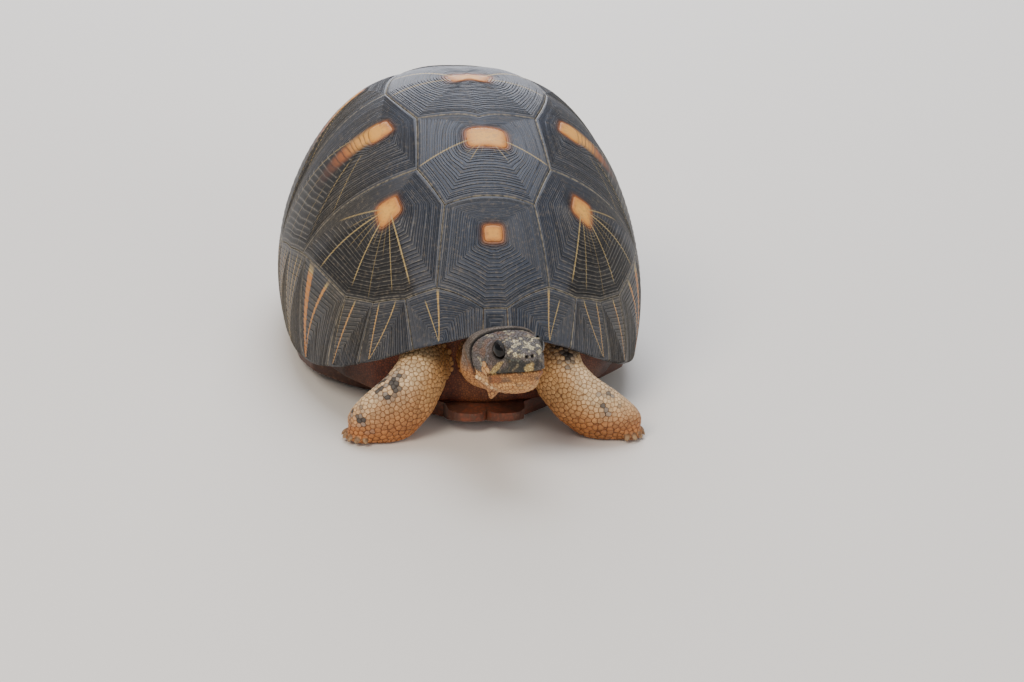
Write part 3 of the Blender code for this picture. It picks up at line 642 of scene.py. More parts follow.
def addMarginals(material):
    arcs, tops, topArcs = marginals["arcs"], marginals["tops"], marginals["topArcs"]
    for index in range(1, len(arcs)):
        ends = [onDisc(topArcs[k], tops[k]) for k in (index - 1, index)]
        middle = np.array(vertebrals["vertebral_1"][0][2]) if index == 1 else (ends[0] + ends[1]) / 2
        rays = marginals["rays"].get(index, marginals["sideRays"])
        for side in ("left", "right"):
            addMarginal(f"marginal_{side}_{index}Plate", (ends[0], middle, ends[1]), arcs[index - 1],
                        arcs[index], rays, marginals["centres"].get(index, 0.82), material, side == "right")
    for name, middle, half, halfTop, r, topY, rays in (
            ("nuchal", 0, arcs[0], topArcs[0], tops[0], -0.907, ()),
            ("supracaudal", 180, 180 - arcs[-1], 180 - topArcs[-1], tops[-1], 0.830,
             marginals["middleRays"])):
        top = (onDisc(middle - halfTop, r), (0, topY), onDisc(middle + halfTop, r))
        addMarginal(name + "Plate", top, middle - half, middle + half, rays, 0.5, material, False)


def addPlastron(material):
    for pattern, corners in plastron.items():
        outline = inset(counterclockwise(corners), plateBuild["seamInset"])
        middle = np.mean(np.array(corners), 0)
        scale = discScale(plastronPlace, middle)
        aimed = rayList([(turn, 1.6, 0.8, 0.1, 1) for turn in (55, 80, 100, 125)])
        spec = {"hump": 0.0, "areola": (5, 4), "rings": 9, "rays": aimed, "fan": (40, 140), "point": 90,
                "areolaTone": True, "slot": "plastron_horn"}
        for side in ("left", "right"):
            addPlate(pattern.format(side) + "Plate", plastronPlace, outline, middle, scale, spec, material,
                     side == "right", pattern + side)


# Flesh: one closed skin round the flesh solids, inside them by the depth of the scales.
flesh = {"voxel": 1.6 * mm, "overlap": 0.25 * mm, "smoothing": 22, "inset": 0.55 * mm, "hiddenShare": 0.12}
fleshNodes = ("trunk", "neck", "head", "lower_jaw", "tail",
              "leg_front_left", "leg_front_right", "leg_hind_left", "leg_hind_right")
headPlace = (Matrix.Translation((0.0100, -0.235 + shiftY, 0.0755)) @ Matrix.Rotation(math.radians(14), 4, "Z")
             @ Matrix.Rotation(math.radians(-2), 4, "X"))
headFromWorld = np.array(headPlace.inverted())


# Head space in millimetres: X to the tortoise's left, Y back from the snout, Z up from the mouth
def inHead(points):
    return (points @ headFromWorld[:3, :3].T + headFromWorld[:3, 3]) / mm


def nodeShape(name, grow):
    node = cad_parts[name]
    shape = bmesh.new()
    shape.from_mesh(node.data)
    shape.transform(node.matrix_world)
    bmesh.ops.remove_doubles(shape, verts=shape.verts, dist=1e-5)
    shape.normal_update()
    for vertex in shape.verts:
        vertex.co += vertex.normal * grow
    return shape


def roughSkin():
    joined = bmesh.new()
    trees = {}
    for name in fleshNodes + ("eye_left", "eye_right"):  # the eyes fill their sockets
        shape = nodeShape(name, flesh["overlap"])
        trees[name] = BVHTree.FromBMesh(shape)
        part = bpy.data.meshes.new("part")
        shape.to_mesh(part)
        shape.free()
        joined.from_mesh(part)
        bpy.data.meshes.remove(part)
    mesh = bpy.data.meshes.new("roughSkin")
    joined.to_mesh(mesh)
    joined.free()
    rough = bpy.data.objects.new("roughSkin", mesh)
    bpy.context.scene.collection.objects.link(rough)
    remesh = rough.modifiers.new("remesh", "REMESH")
    remesh.mode = "VOXEL"
    remesh.voxel_size = flesh["voxel"]
    smooth = rough.modifiers.new("smooth", "SMOOTH")
    smooth.factor = 0.5
    smooth.iterations = flesh["smoothing"]
    made = bpy.data.meshes.new_from_object(rough.evaluated_get(bpy.context.evaluated_depsgraph_get()))
    bpy.data.objects.remove(rough)
    return made, trees


def coordinates(mesh):
    values = np.empty(len(mesh.vertices) * 3, np.float32)
    mesh.vertices.foreach_get("co", values)
    return values.reshape(-1, 3).astype(float)


def normalsOf(mesh):
    values = np.empty(len(mesh.vertices) * 3, np.float32)
    mesh.vertex_normals.foreach_get("vector", values)
    return values.reshape(-1, 3).astype(float)


# The flesh node that each point is nearest to, as an index into fleshNodes
def regionsOf(points, trees):
    region = np.zeros(len(points), int)
    nearest = np.full(len(points), 1e9)
    for index, name in enumerate(fleshNodes):
        low, high = (np.array(corner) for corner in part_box(name))
        inside = np.nonzero(((points > low - 0.006) & (points < high + 0.006)).all(1))[0]
        for i in inside:
            distance = trees[name].find_nearest(Vector(points[i]))[3]
            if distance < nearest[i]:
                nearest[i], region[i] = distance, index
    return region


# How high a point of the trunk stands over the shell's rim on its own side
def aboveRim(points):
    x, y = points[:, 0] / shell["halfWidth"], (points[:, 1] - shiftY) / shell["halfLength"]
    return points[:, 2] - rimHeight(y / np.maximum(np.hypot(x, y), 1e-9))


def thinHidden(mesh):
    points = coordinates(mesh)
    hidden = (aboveRim(points) > 0.010) | (points[:, 2] < 0.004)
    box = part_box("trunk")
    hidden &= (points[:, 1] > box[0].y + 0.004) & (points[:, 1] < box[1].y - 0.004)
    holder = bpy.data.objects.new("holder", mesh)
    bpy.context.scene.collection.objects.link(holder)
    group = holder.vertex_groups.new(name="hidden")
    group.add([int(i) for i in np.nonzero(hidden)[0]], 1.0, "REPLACE")
    thin = holder.modifiers.new("thin", "DECIMATE")
    thin.vertex_group = "hidden"
    thin.ratio = 1 - hidden.mean() * (1 - flesh["hiddenShare"])
    made = bpy.data.meshes.new_from_object(holder.evaluated_get(bpy.context.evaluated_depsgraph_get()))
    bpy.data.objects.remove(holder)
    return made


# Splits the faces whose middle the test accepts into four
def refine(mesh, test):
    shape = bmesh.new()
    shape.from_mesh(mesh)
    shape.verts.ensure_lookup_table()
    points = np.array([vertex.co[:] for vertex in shape.verts])
    chosen = test(points)
    edges = [edge for edge in shape.edges if chosen[edge.verts[0].index] and chosen[edge.verts[1].index]]
    bmesh.ops.subdivide_edges(shape, edges=edges, cuts=1, use_grid_fill=True, smooth=0.0)
    shape.to_mesh(mesh)
    shape.free()


def bell(distance, width):
    return np.exp(-(distance / width) ** 2)


def ramped(value, low, high):
    return np.clip((value - low) / (high - low), 0, 1)


# How far out in an ellipse: 1 on its edge
def oval(a, halfA, b, halfB):
    return np.hypot(a / halfA, b / halfB)


# Landmarks of the head, in millimetres in head space
face = {
    "eye": (9.5, 17.4, 10.1), "eyeRadius": 6.6, "eyeAxis": (1.0, -0.42, 0.06), "opening": (5.7, 5.0),
    "eyeTilt": 27,  # degrees: the opening runs down towards the snout
    "nostril": (1.85, 0.4, 10.2), "mouthEnd": 25.0, "mouthDrop": 0.37, "foldWidth": 0.75,
}


# The mouth runs level round the beak's tip and then down to the corner under the cheek
def mouthHeight(y):
    return 0.2 - face["mouthDrop"] * np.maximum(y - 2.5, 0)


# How far behind the fold that rings the back of the head
def behindFold(y, z):
    return y - 36.0 - 3.4 * ramped(z, -10, 3) + 4.0 * ramped(z, 14, 18)


# The eye's own directions: out of the head, back along its opening, and up across it
def eyeAxes(side):
    axis = unit(np.array([face["eyeAxis"]]))[0]
    along = unit(np.cross((0, 0, 1), axis)[None])[0]
    up = np.cross(axis, along)
    tilt = math.radians(face["eyeTilt"])
    back = along * math.cos(tilt) + up * math.sin(tilt)
    rise = up * math.cos(tilt) - along * math.sin(tilt)
    return axis * (side, 1, 1), back * (side, 1, 1), rise * (side, 1, 1)


# How high over the jowl's ridge, which rises back under the cheek
def jowlLine(y, z):
    return z + 15.5 - 0.36 * (y - 24)


# Where a point lies round the nearer eye: along the opening, up it, and out along the eye's axis
def roundEye(p):
    offset = np.column_stack([np.abs(p[:, 0]), p[:, 1:]]) - np.array(face["eye"])
    axis, along, up = eyeAxes(1)
    return offset @ along, offset @ up, offset @ axis


# How far out in the eye's opening: 1 at the edge of the lids
def inOpening(along, up):
    return oval(along, face["opening"][0], up, face["opening"][1])


# The corner behind the eye, where the shade under the brow is painted black
def shadedCorner(along, up):
    return ramped(up, -2.0, 0.0) * ramped(along, 0.5, 3.5)


def fromNostril(x, z):
    return np.hypot(np.abs(x) - face["nostril"][0], z - face["nostril"][2])


# Height of the head's forms over the plain skin, in mm
def headRelief(p):
    x, y, z = p.T
    along, up, out = roundEye(p)
    mouth, nostril = z - mouthHeight(y), fromNostril(x, z)
    fold, jowl = behindFold(y, z), jowlLine(y, z)
    lips = ramped(y, face["mouthEnd"] + 2, face["mouthEnd"])
    snout, top = ramped(y, 6, 3), ramped(z, 8, 13)
    upper, throat = ramped(z, -15, -10), ramped(z, -9, -13)
    cheeks = ramped(y, 18, 23) * ramped(y, 40, 36)
    forms = (
        # (height, how far from its middle, half width, where)
        (-1.9, mouth, 0.5, lips), (0.55, mouth - 1.4, 1.0, lips),  # the mouth and its upper edge
        (0.45, mouth + 1.6, 1.0, lips), (-0.45, mouth + 5.5, 1.5, lips * ramped(y, 4, 9)),  # lower jaw
        (0.6, nostril, 2.4, snout), (-2.3, nostril, 0.75, snout),
        (-1.1, oval(y - 7.5, 4.2, z - 7.6, 2.2), 1, 1),  # hollow between nostril and eye
        (0.7, z - 11.3 - 0.16 * (y - 4), 1.3, ramped(y, 24, 18) * ramped(y, 2, 5)),  # the crown's edge
        (1.5, oval(along + 0.6, 7.2, up - 5.4, 1.5), 1, ramped(out, -3, 0)),  # brow
        (0.55, oval(along, 7.0, up + 5.6, 1.3), 1, ramped(out, -2, 1)),  # rim under the eye
        (-0.45, oval(along, 8.0, up + 8.0, 1.1), 1, ramped(out, -3, 0)),  # crease under the rim
        (-0.5, np.hypot(along - 8.6, up), 2.0, ramped(out, -4, 0)),  # behind the eye
        (1.0, oval(y - 24.2, 3.4, z + 5.0, 3.6), 1, 1),  # cheek
        (-0.9, oval(y - 30.8, 2.6, z - 5.0, 3.6), 1, 1),  # temple
        (-0.6, oval(y - 24, 9, x, 6), 1, z > 5),  # flat of the crown
        (-3.4, fold, face["foldWidth"], upper),  # the fold round the head, its rim and its collar
        (1, fold + 2.6, 1.6, upper * (0.4 - 1.2 * top)), (1, fold - 3.0, 2.0, upper * (1.3 - 0.5 * top)),
        (-0.8, fold - 8.5, 1.2, 1), (-0.5, fold - 12.0, 1.5, 1),  # creases of the neck
        (0.9, y - 30.0 + 0.35 * x, 2.2, throat), (-1.2, y - 25.0 + 0.35 * x, 1.0, throat),
        (7.0, oval(x + 9.5, 2.6, y - 28.5, 2.6), 1, throat * ramped(z, -13, -16)),  # dewlap
        (1.6, oval(x + 12.0, 5.0, y - 34.0, 6.0), 1, throat),  # fold that the dewlap hangs from
        (1.1, jowl, 1.2, cheeks), (-0.8, jowl + 2.8, 1.2, cheeks),
    )
    relief = sum(height * bell(distance, width) * where for height, distance, width, where in forms)
    return relief + throat * (1.2 + 0.25 * np.sin(y * 1.3 + 0.4 * np.sin(x * 0.6)))


# Where the bed of the eyeball ends and how far its margin reaches, in shares of the opening; how deep
# the bed lies under the ball and how high the margin stands over it, in mm
eyeBed = {"edge": 1.05, "bed": 1.6, "margin": 0.45, "marginReach": (1.8, 1.2)}


# Sinks the socket to a bed behind the eyeball and draws its margin onto the ball
def sinkSockets(p):
    along, up, out = roundEye(p)
    share = inOpening(along, up)
    facing = out > 0
    height = np.sqrt(np.maximum(face["eyeRadius"] ** 2 - along ** 2 - up ** 2, 0))
    bed = np.where(facing & (share < eyeBed["edge"]), height - eyeBed["bed"] - out, 0)
    margin = ramped(share, *eyeBed["marginReach"]) * (facing & (share >= eyeBed["edge"]))
    margin = margin * np.maximum(height + eyeBed["margin"] - out, 0)
    shift = np.minimum(bed, 0) + margin
    side = np.where(p[:, 0] < 0, -1, 1)
    return p + shift[:, None] * eyeAxes(1)[0] * np.stack([side, np.ones(len(p)), np.ones(len(p))], 1)


def inWorld(p):
    place = np.array(headPlace)
    return (p * mm) @ place[:3, :3].T + place[:3, 3]


def inHeadBox(points, back):
    p = inHead(points)
    return (p[:, 1] < back) & (p[:, 1] > -4) & (np.abs(p[:, 0]) < 27) & (p[:, 2] > -25) & (p[:, 2] < 22)


# Where the skin needs its finest faces: the beak and nostrils, round the eyes, and along the fold
def fineParts(points):
    p = inHead(points)
    along, up, out = roundEye(p)
    beak = (p[:, 1] < 10) & (p[:, 2] > -3)
    eye = (np.hypot(along, up) < 8.5) & (out > -4)
    fold = (np.abs(behindFold(p[:, 1], p[:, 2])) < 2.4) & (p[:, 2] > -14)
    return inHeadBox(points, 50) & (beak | eye | fold)


def buildSkin():
    mesh, trees = roughSkin()
    mesh = thinHidden(mesh)
    refine(mesh, lambda points: inHeadBox(points, 50))
    refine(mesh, fineParts)
    points, normals = coordinates(mesh), normalsOf(mesh)
    region = regionsOf(points, trees)
    points -= normals * flesh["inset"]
    inside = inHeadBox(points, 52) & (region != fleshNodes.index("trunk"))
    relief = headRelief(inHead(points[inside]))
    points[inside] += normals[inside] * relief[:, None] * mm
    near = inHeadBox(points, 30)
    points[near] = inWorld(sinkSockets(inHead(points[near])))
    points[:, 2] = np.maximum(points[:, 2], 0.3 * mm)
    mesh.vertices.foreach_set("co", points.astype(np.float32).ravel())
    mesh.update()
    return mesh, region


# Markings, the same for the skin and for the scales that stand on it
hide = {
    "tan": "#cda069", "pale": "#dfc297", "rust": "#b8743a", "brown": "#94623a", "pocket": "#7a3d22",
    "slate": "#55534f", "dark": "#211f1e", "black": "#0c0b0b", "beak": "#454a45", "yellow": "#d9c88c",
    "speckle": "#d8cfaa", "grey": "#7b7773", "lilac": "#726c6e", "temple": "#5d5854", "throat": "#b98450",
    "jaw": "#c9995f", "blotch": "#a85f2d", "hind": "#9a8260", "glow": "#a8562c",
}
paint = {name: np.array(linear(code)[:3]) for name, code in hide.items()}


# Lays colours over a first one, from the bottom up: (name, share at each point)
def layered(first, points, layers):
    color = np.tile(paint[first], (len(points), 1))
    for name, share in layers:
        share = np.clip(share, 0, 1)[:, None]
        color = color * (1 - share) + paint[name] * share
    return color


# Smooth pseudo-random field between -1 and 1; size is the width of its patches in metres
def mottle(points, size, seed):
    total = np.zeros(len(points))
    rng = np.random.default_rng(seed)
    for _ in range(7):
        heading = rng.normal(size=3)
        heading *= rng.uniform(0.6, 1.6) / np.linalg.norm(heading)
        total += np.sin(points @ heading * math.tau / size / 2 + rng.uniform(0, math.tau))
    return np.clip(total / 3, -1, 1)


# Dark marks of the forelegs: where they start and end along the limb, how far out from its middle
# they start, in mm, and how broken they are
legMarks = {
    "leg_front_right": ((8, 27, 67, -0.1), (39, 50, 60, 0.5)),
    "leg_front_left": ((-9, 3, 65, 0.1), (20, 38, 64, 0.5)),
}


def legColor(points, name):
    height = points[:, 2]
    if "hind" in name:
        return layered("hind", points, (("slate", ramped(height, 0.012, 0.03) * 0.7),
                                        ("dark", ramped(mottle(points, 0.012, 5), 0.35, 0.6) * 0.6)))
    side = np.abs(points[:, 0])
    down, out = (side - height) * 0.707 / mm, (side + height) * 0.707 / mm
    top = ramped(out, 54, 64) * ramped(mottle(points, 0.03, 2), -1.2, 0.1)
    flecks = mottle(points, 0.0035, 4)
    # Pale on the upper outer side: partly the leg's own colour, partly a painted highlight from above.
    layers = [("rust", ramped(height, 0.030, 0.010) * 0.9),
              ("pale", top * ramped(height, 0.012, 0.03) * 0.9),
              ("brown", ramped(mottle(points, 0.022, 3), 0.25, 0.9) * 0.45)]
    for start, end, inner, broken in legMarks[name]:
        within = ramped(down, start - 2, start + 2) * ramped(down, end + 2, end - 2)
        within = within * ramped(out, inner - 2, inner + 1)
        layers += [("grey", within * ramped(flecks, broken - 0.5, broken) * 0.8),
                   ("dark", within * ramped(flecks, broken, broken + 0.3) * 0.8)]
    return layered("tan", points, layers)


def headColor(points):
    p = inHead(points)
    x, y, z = p.T
    along, up, out = roundEye(p)
    mouth, fold, jowl = z - mouthHeight(y), behindFold(y, z), jowlLine(y, z)
    fine, coarse = mottle(points, 0.0022, 13), mottle(points, 0.006, 11)
    cheeks = ramped(y, 18, 23) * ramped(y, 40, 36)
    above = np.where(y < face["mouthEnd"], ramped(mouth, -0.2, 0.3), ramped(z, -9, -7))
    cheek = bell(oval(y - 24.4, 3.6, z + 4.8, 3.9), 1.0)
    beak = above * ramped(y + 0.5 * z, 15.5, 14.5) * ramped(z, 9.0, 7.8)
    chip = ramped(oval(x, 3.4, mouth - 3.0, 3.4) + 0.15 * fine, 1.05, 0.7) * ramped(y, 5, 3)
    across, down = (y - 15.4) * 0.72 + (z + 1.0) * 0.69, (y - 15.4) * 0.69 - (z + 1.0) * 0.72
    streak = ramped(oval(across, 1.7, down, 8.2), 1.15, 0.85) * ramped(mouth, -0.8, -0.2)
    crown = ramped(z, 9.2, 10.6) * ramped(y, 27, 20)
    snout, nostril = ramped(y, 5, 3), fromNostril(x, z)
    ring = ramped(fold, -0.6, 0.6)
    lid, corner = inOpening(along, up), shadedCorner(along, up)
    return layered("jaw", points, (
        # The jaw and the jowl's pale ridge
        ("blotch", ramped(coarse, 0.0, 0.6) * 0.6),
        ("temple", ramped(mottle(points, 0.004, 21), 0.5, 0.8) * ramped(z, -14, -6) * 0.55),
        ("throat", ramped(z, -12, -16) * 0.8),
        ("pale", bell(jowl, 1.5) * cheeks * 0.9),
        # Painted shadow: a brown band in the crease under the jowl's ridge.
        ("brown", bell(jowl + 3.2, 1.4) * cheeks * 0.8),
        # Above the mouth
        ("temple", above),
        ("brown", above * ramped(y, 14, 20) * ramped(coarse, 0.1, 0.7) * 0.4),
        ("lilac", above * ramped(mottle(points, 0.009, 17), 0.0, 0.7) * 0.4),
        ("dark", above * ramped(fine, 0.25, 0.55) * 0.35),
        ("speckle", above * ramped(y, 24, 28) * ramped(mottle(points, 0.0035, 15), 0.45, 0.65) * 0.4),
        ("tan", ramped(cheek, 0.25, 0.5) * 0.95),
        # The beak, with a pale chip at its tip
        ("beak", beak * 0.9),
        ("lilac", beak * ramped(x, 2.5, 6.5) * 0.6),
        ("black", beak * bell(oval(x + 4.5, 3.6, z - 4.0, 3.4), 1.0) * 0.65),
        ("dark", beak * ramped(mottle(points, 0.0035, 16), 0.0, 0.5) * 0.6),
        ("speckle", beak * ramped(mottle(points, 0.0018, 19), 0.35, 0.7) * 0.22),
        ("yellow", chip * ramped(mouth, -0.3, 0.3)),
        # The crown and the nostrils
        ("slate", crown * 0.8),
        ("speckle", crown * ramped(fine + 0.4 * coarse, 0.1, 0.5) * 0.8),
        ("lilac", snout * bell(nostril - 2.0, 1.2) * 0.6),
        # Painted shade: the nostrils' hollows black.
        ("black", snout * ramped(nostril, 1.25, 0.75)),
        ("dark", crown * ramped(mottle(points, 0.0026, 14), 0.45, 0.65) * 0.6),
        # Behind the fold
        ("grey", ring * ramped(z, -8, 0)),
        ("throat", ring * ramped(z, -2, -10)),
        # Painted shadow: the fold's groove painted black.
        ("black", ramped(fold, -1.2, -0.6) * ramped(fold, 1.7, 0.9) * ramped(z, -13, -7)),
        # Round the eye, with a pale streak down from it; black round the opening and in the corner behind it,
        # painted shade under the brow
        ("lilac", ramped(lid, 2.3, 1.9) * (out > -2) * ramped(up, 0.5, -1.5) * 0.9),
        ("yellow", streak),
        ("black", ramped(lid, 1.15 + 0.4 * corner, 1.0 + 0.35 * corner) * (out > 0))))


def bodyColor(points, name):
    if name == "neck":
        return layered("throat", points, (("grey", ramped(points[:, 2], 0.05, 0.06) * 0.8),))
    if name == "tail":
        return layered("hind", points, ())
    return layered("pocket", points, (
        ("glow", ramped(aboveRim(points), -0.030, -0.004)),
        ("brown", ramped(mottle(points, 0.02, 8), 0.1, 0.8) * 0.5),
        # Painted shadow: the trunk's sides under the shell turn near black from 58 mm out from the middle.
        ("black", ramped(np.abs(points[:, 0]), 0.058, 0.085) * 0.85)))


def markings(points, region):
    color = np.empty((len(points), 3))
    for index, name in enumerate(fleshNodes):
        mine = region == index
        if not mine.any():
            continue
        if name in ("head", "lower_jaw"):
            color[mine] = headColor(points[mine])
        elif name.startswith("leg"):
            color[mine] = legColor(points[mine], name)
        else:
            color[mine] = bodyColor(points[mine], name)
    return color


# Scales: domed plates on the skin, each the space nearer to its own root than to the others.
coat = {
    "gap": 0.05, "rise": 0.125, "sink": 0.25 * mm, "oversampling": 9, "relaxing": 2,
    "spread": 0.80, "patch": 0.0015, "lean": 0.6, "reach": 2.1, "start": 0.72,
    # (share of the way out from the root, share of the rise, how near the edge) of each ring of points
    "rings": ((1.0, None, 1.0), (0.96, 0.45, 0.8), (0.66, 0.88, 0.25)),
    "riseVaries": (0.85, 1.15), "shadeVaries": (0.86, 1.14),
}


def headSpacing(points):
    p = inHead(points)
    x, y, z = p.T
    size = 1.6 + 0.5 * ramped(z, -6, -10)
    size = np.where((z > 9.5) & (y >= 9), 1.45 + 0.8 * ramped(y, 14, 22) * ramped(np.abs(x), 14, 9), size)
    size = np.where((z > 7) & (y < 9), 1.2, size)
    cheek = bell(oval(y - 24.4, 4.4, z + 4.7, 4.6), 1.0)
    return np.where(cheek > 0.4, 3.4, size) * mm


def scaledHead(points):
    p = inHead(points)
    x, y, z = p.T
    along, up, out = roundEye(p)
    mouth = z - mouthHeight(y)
    horn = (y + 0.5 * z < 15.5 + 3 * (z < 2)) & (z < 7.6) & (mouth > -6.5)
    nostril = (y < 5) & (fromNostril(x, z) < 1.5)
    slit = (np.abs(mouth) < 1.0) & (y < face["mouthEnd"] + 1)
    behind = (behindFold(y, z) > -1.5) & (z > -13)
    bare = 1.9 - 0.75 * ramped(up, -1.5, 0.5) + 0.35 * shadedCorner(along, up)
    lid = (inOpening(along, up) < bare) & (out > -2)
    return ~lid & ~horn & ~nostril & ~slit & ~behind & (y < 50)


def legSpacing(points):
    lower = ramped(points[:, 2], 0.028, 0.012)
    size = 2.8 + 0.7 * lower - 0.8 * ramped(np.abs(points[:, 0]), 0.070, 0.088)
    return np.where(points[:, 1] > shiftY, 4.4, size) * mm


def neckSpacing(points):
    return np.full(len(points), 2.2 * mm)


# Random roots on the chosen triangles, none nearer to another than its scale's size allows
def scatter(corners, spacing, seed):
    rng = np.random.default_rng(seed)
    size = spacing(corners.mean(1))
    area = np.linalg.norm(np.cross(corners[:, 1] - corners[:, 0], corners[:, 2] - corners[:, 0]), axis=1) / 2
    weight = area / size ** 2
    picks = rng.choice(len(corners), int(weight.sum() * coat["oversampling"]), p=weight / weight.sum())
    a, b = rng.random(len(picks)), rng.random(len(picks))
    flip = a + b > 1
    a, b = np.where(flip, 1 - a, a), np.where(flip, 1 - b, b)
    first, second, third = corners[picks].transpose(1, 0, 2)
    spots = first + (second - first) * a[:, None] + (third - first) * b[:, None]
    sizes = spacing(spots) * coat["spread"]
    cell = float(sizes.max())
    grid, kept = {}, []
    for i, (spot, reach) in enumerate(zip(spots.tolist(), sizes.tolist())):
        home = tuple(int(math.floor(c / cell)) for c in spot)
        if not crowded(grid, home, spot, reach):
            grid.setdefault(home, []).append(spot)
            kept.append(i)
    return spots[kept]


neighbourCells = [(i, j, k) for i in (-1, 0, 1) for j in (-1, 0, 1) for k in (-1, 0, 1)]


def crowded(grid, home, spot, reach):
    for i, j, k in neighbourCells:
        for other in grid.get((home[0] + i, home[1] + j, home[2] + k), ()):
            if math.dist(spot, other) < reach:
                return True
    return False


# The part of a polygon where point . (a, b) is at most limit
def clipped(polygon, a, b, limit):
    result = []
    for index, (x, y) in enumerate(polygon):
        px, py = polygon[index - 1]
        here, before = a * x + b * y - limit, a * px + b * py - limit
        if (here > 0) != (before > 0):
            t = before / (before - here)
            result.append((px + (x - px) * t, py + (y - py) * t))
        if here <= 0:
            result.append((x, y))
    return result


startRing = [(math.cos(math.tau * k / 10), math.sin(math.tau * k / 10)) for k in range(10)]


# Each root's own polygon in its tangent plane: [(root, normal, u, v, polygon, size)]
def territories(spots, tree, spacing):
    sizes = spacing(spots)
    roots = KDTree(len(spots))
    for index, spot in enumerate(spots):
        roots.insert(spot, index)
    roots.balance()
    normals = [tree.find_nearest(Vector(spot))[1] for spot in spots]
    found = []
    for index, spot in enumerate(spots):
        normal, size, root = normals[index], float(sizes[index]), Vector(spot)
        u = normal.orthogonal().normalized()
        v = normal.cross(u)
        polygon = [(x * size * coat["start"], y * size * coat["start"]) for x, y in startRing]
        for place, other, _ in roots.find_range(root, size * coat["reach"]):
            if other == index or normals[other].dot(normal) < 0.1:
                continue
            offset = place - root
            a, b = offset.dot(u), offset.dot(v)
            share = size / (size + float(sizes[other]))
            polygon = clipped(polygon, a, b, share * (a * a + b * b))
        found.append((root, normal, u, v, polygon, size))
    return found


def relaxed(spots, tree, spacing):
    for _ in range(coat["relaxing"]):
        moved = []
        for root, _, u, v, polygon, _ in territories(spots, tree, spacing):
            x = sum(p[0] for p in polygon) / max(len(polygon), 1)
            y = sum(p[1] for p in polygon) / max(len(polygon), 1)
            moved.append(tree.find_nearest(root + u * x + v * y)[0][:])
        spots = np.array(moved)
    return spots


# The points of one scale, ring by ring and then its top and bottom: (point, edge, place on the map)
def scalePoints(tree, territory, lift, home):
    root, normal, u, v, polygon, size = territory
    foot = []
    for x, y in polygon:
        flat = root + u * x * (1 - coat["gap"]) + v * y * (1 - coat["gap"])
        foot.append((*tree.find_nearest(flat)[:2], x, y))
    found = []
    for inward, height, edge in coat["rings"]:
        for spot, facing, x, y in foot:
            level = -coat["sink"] if height is None else lift * height
            out = facing.lerp(normal, coat["lean"] * (1 - inward)) if inward < 1 else facing
            place = (home[0] + x / size * coat["patch"], home[1] + y / size * coat["patch"])
            found.append((root + (spot - root) * inward + out * level, edge, place))
    return found + [(root + normal * lift, 0.0, home), (root - normal * coat["sink"], 1.0, home)]


# Pairs of neighbours round a ring
def around(count):
    return [(k, (k + 1) % count) for k in range(count)]


def addScales(name, skin, tree, chosen, spacing, region, material, seed):
    triangles = skin["triangles"][chosen[skin["triangles"]].all(1)]
    spots = relaxed(scatter(skin["points"][triangles], spacing, seed), tree, spacing)
    rng = random.Random(seed)
    rows, quads, tris, tints = [], [], [], []
    colors = markings(spots, np.full(len(spots), region))
    low, high = skin["points"][chosen].min(0), skin["points"][chosen].max(0)
    middle = (low + high) / 2
    axis = int(np.argmax(high - low))
    first, second = [k for k in range(3) if k != axis]
    for territory, color in zip(territories(spots, tree, spacing), colors):
        root, _, _, _, polygon, size = territory
        count = len(polygon)
        if count < 4:
            continue
        lift = size * coat["rise"] * rng.uniform(*coat["riseVaries"])
        tints += [color * rng.uniform(*coat["shadeVaries"])] * (3 * count + 2)
        angle = math.atan2(root[second] - middle[second], root[first] - middle[first])
        home = (0.5 + angle / math.tau * 0.8, 0.1 + 0.8 * (root[axis] - low[axis]) / (high[axis] - low[axis]))
        start = len(rows)
        rows += scalePoints(tree, territory, lift, home)
        for ring in (start, start + count):
            quads += [(ring + a, ring + b, ring + b + count, ring + a + count) for a, b in around(count)]
        inner, top = start + 2 * count, start + 3 * count
        for a, b in around(count):
            tris += [(inner + a, inner + b, top), (start + b, start + a, top + 1)]
    points = [(point.x, point.y, max(point.z, 0)) for point, _, _ in rows]  # none reaches below the floor
    piece = meshObject(name, points, quads, tris, material)
    setAttribute(piece, "tint", tints)
    setAttribute(piece, "edge", [(edge, 0, 0) for _, edge, _ in rows])
    corners = np.empty(len(piece.data.loops), np.int32)
    piece.data.loops.foreach_get("vertex_index", corners)
    maps = np.array([place for _, _, place in rows], np.float32)
    piece.data.uv_layers.new(name="OFBake").data.foreach_set("uv", maps[corners].ravel())
    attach(piece, "root")
    return len(spots)


def addFlesh(skinMaterial, scaleMaterial):
    mesh, region = buildSkin()
    mesh.materials.clear()
    mesh.materials.append(skinMaterial)
    mesh.polygons.foreach_set("use_smooth", np.ones(len(mesh.polygons), bool))
    piece = bpy.data.objects.new("skin", mesh)
    bpy.context.scene.collection.objects.link(piece)
    points = coordinates(mesh)
    setAttribute(piece, "tint", markings(points, region))
    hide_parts(*fleshNodes)
    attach(piece, "root")
    mesh.calc_loop_triangles()
    triangles = np.empty(len(mesh.loop_triangles) * 3, np.int32)
    mesh.loop_triangles.foreach_get("vertices", triangles)
    triangles = triangles.reshape(-1, 3)
    print("skin", len(triangles), "triangles")
    tree = BVHTree.FromPolygons([tuple(p) for p in points], triangles.tolist())
    skin = {"points": points, "triangles": triangles}
    for index, name in enumerate(fleshNodes):
        if name == "trunk":
            continue
        chosen = region == index
        if name in ("head", "lower_jaw"):
            chosen &= scaledHead(points)
            spacing = headSpacing
        elif name.startswith("leg"):
            chosen &= aboveRim(points) < 0.012
            spacing = legSpacing
        else:
            chosen &= ~inHeadBox(points, 60) | (inHead(points)[:, 2] < -13)
            spacing = neckSpacing
        count = addScales(name + "Scales", skin, tree, chosen, spacing, index, scaleMaterial, 40 + index)
        print(name, count, "scales")


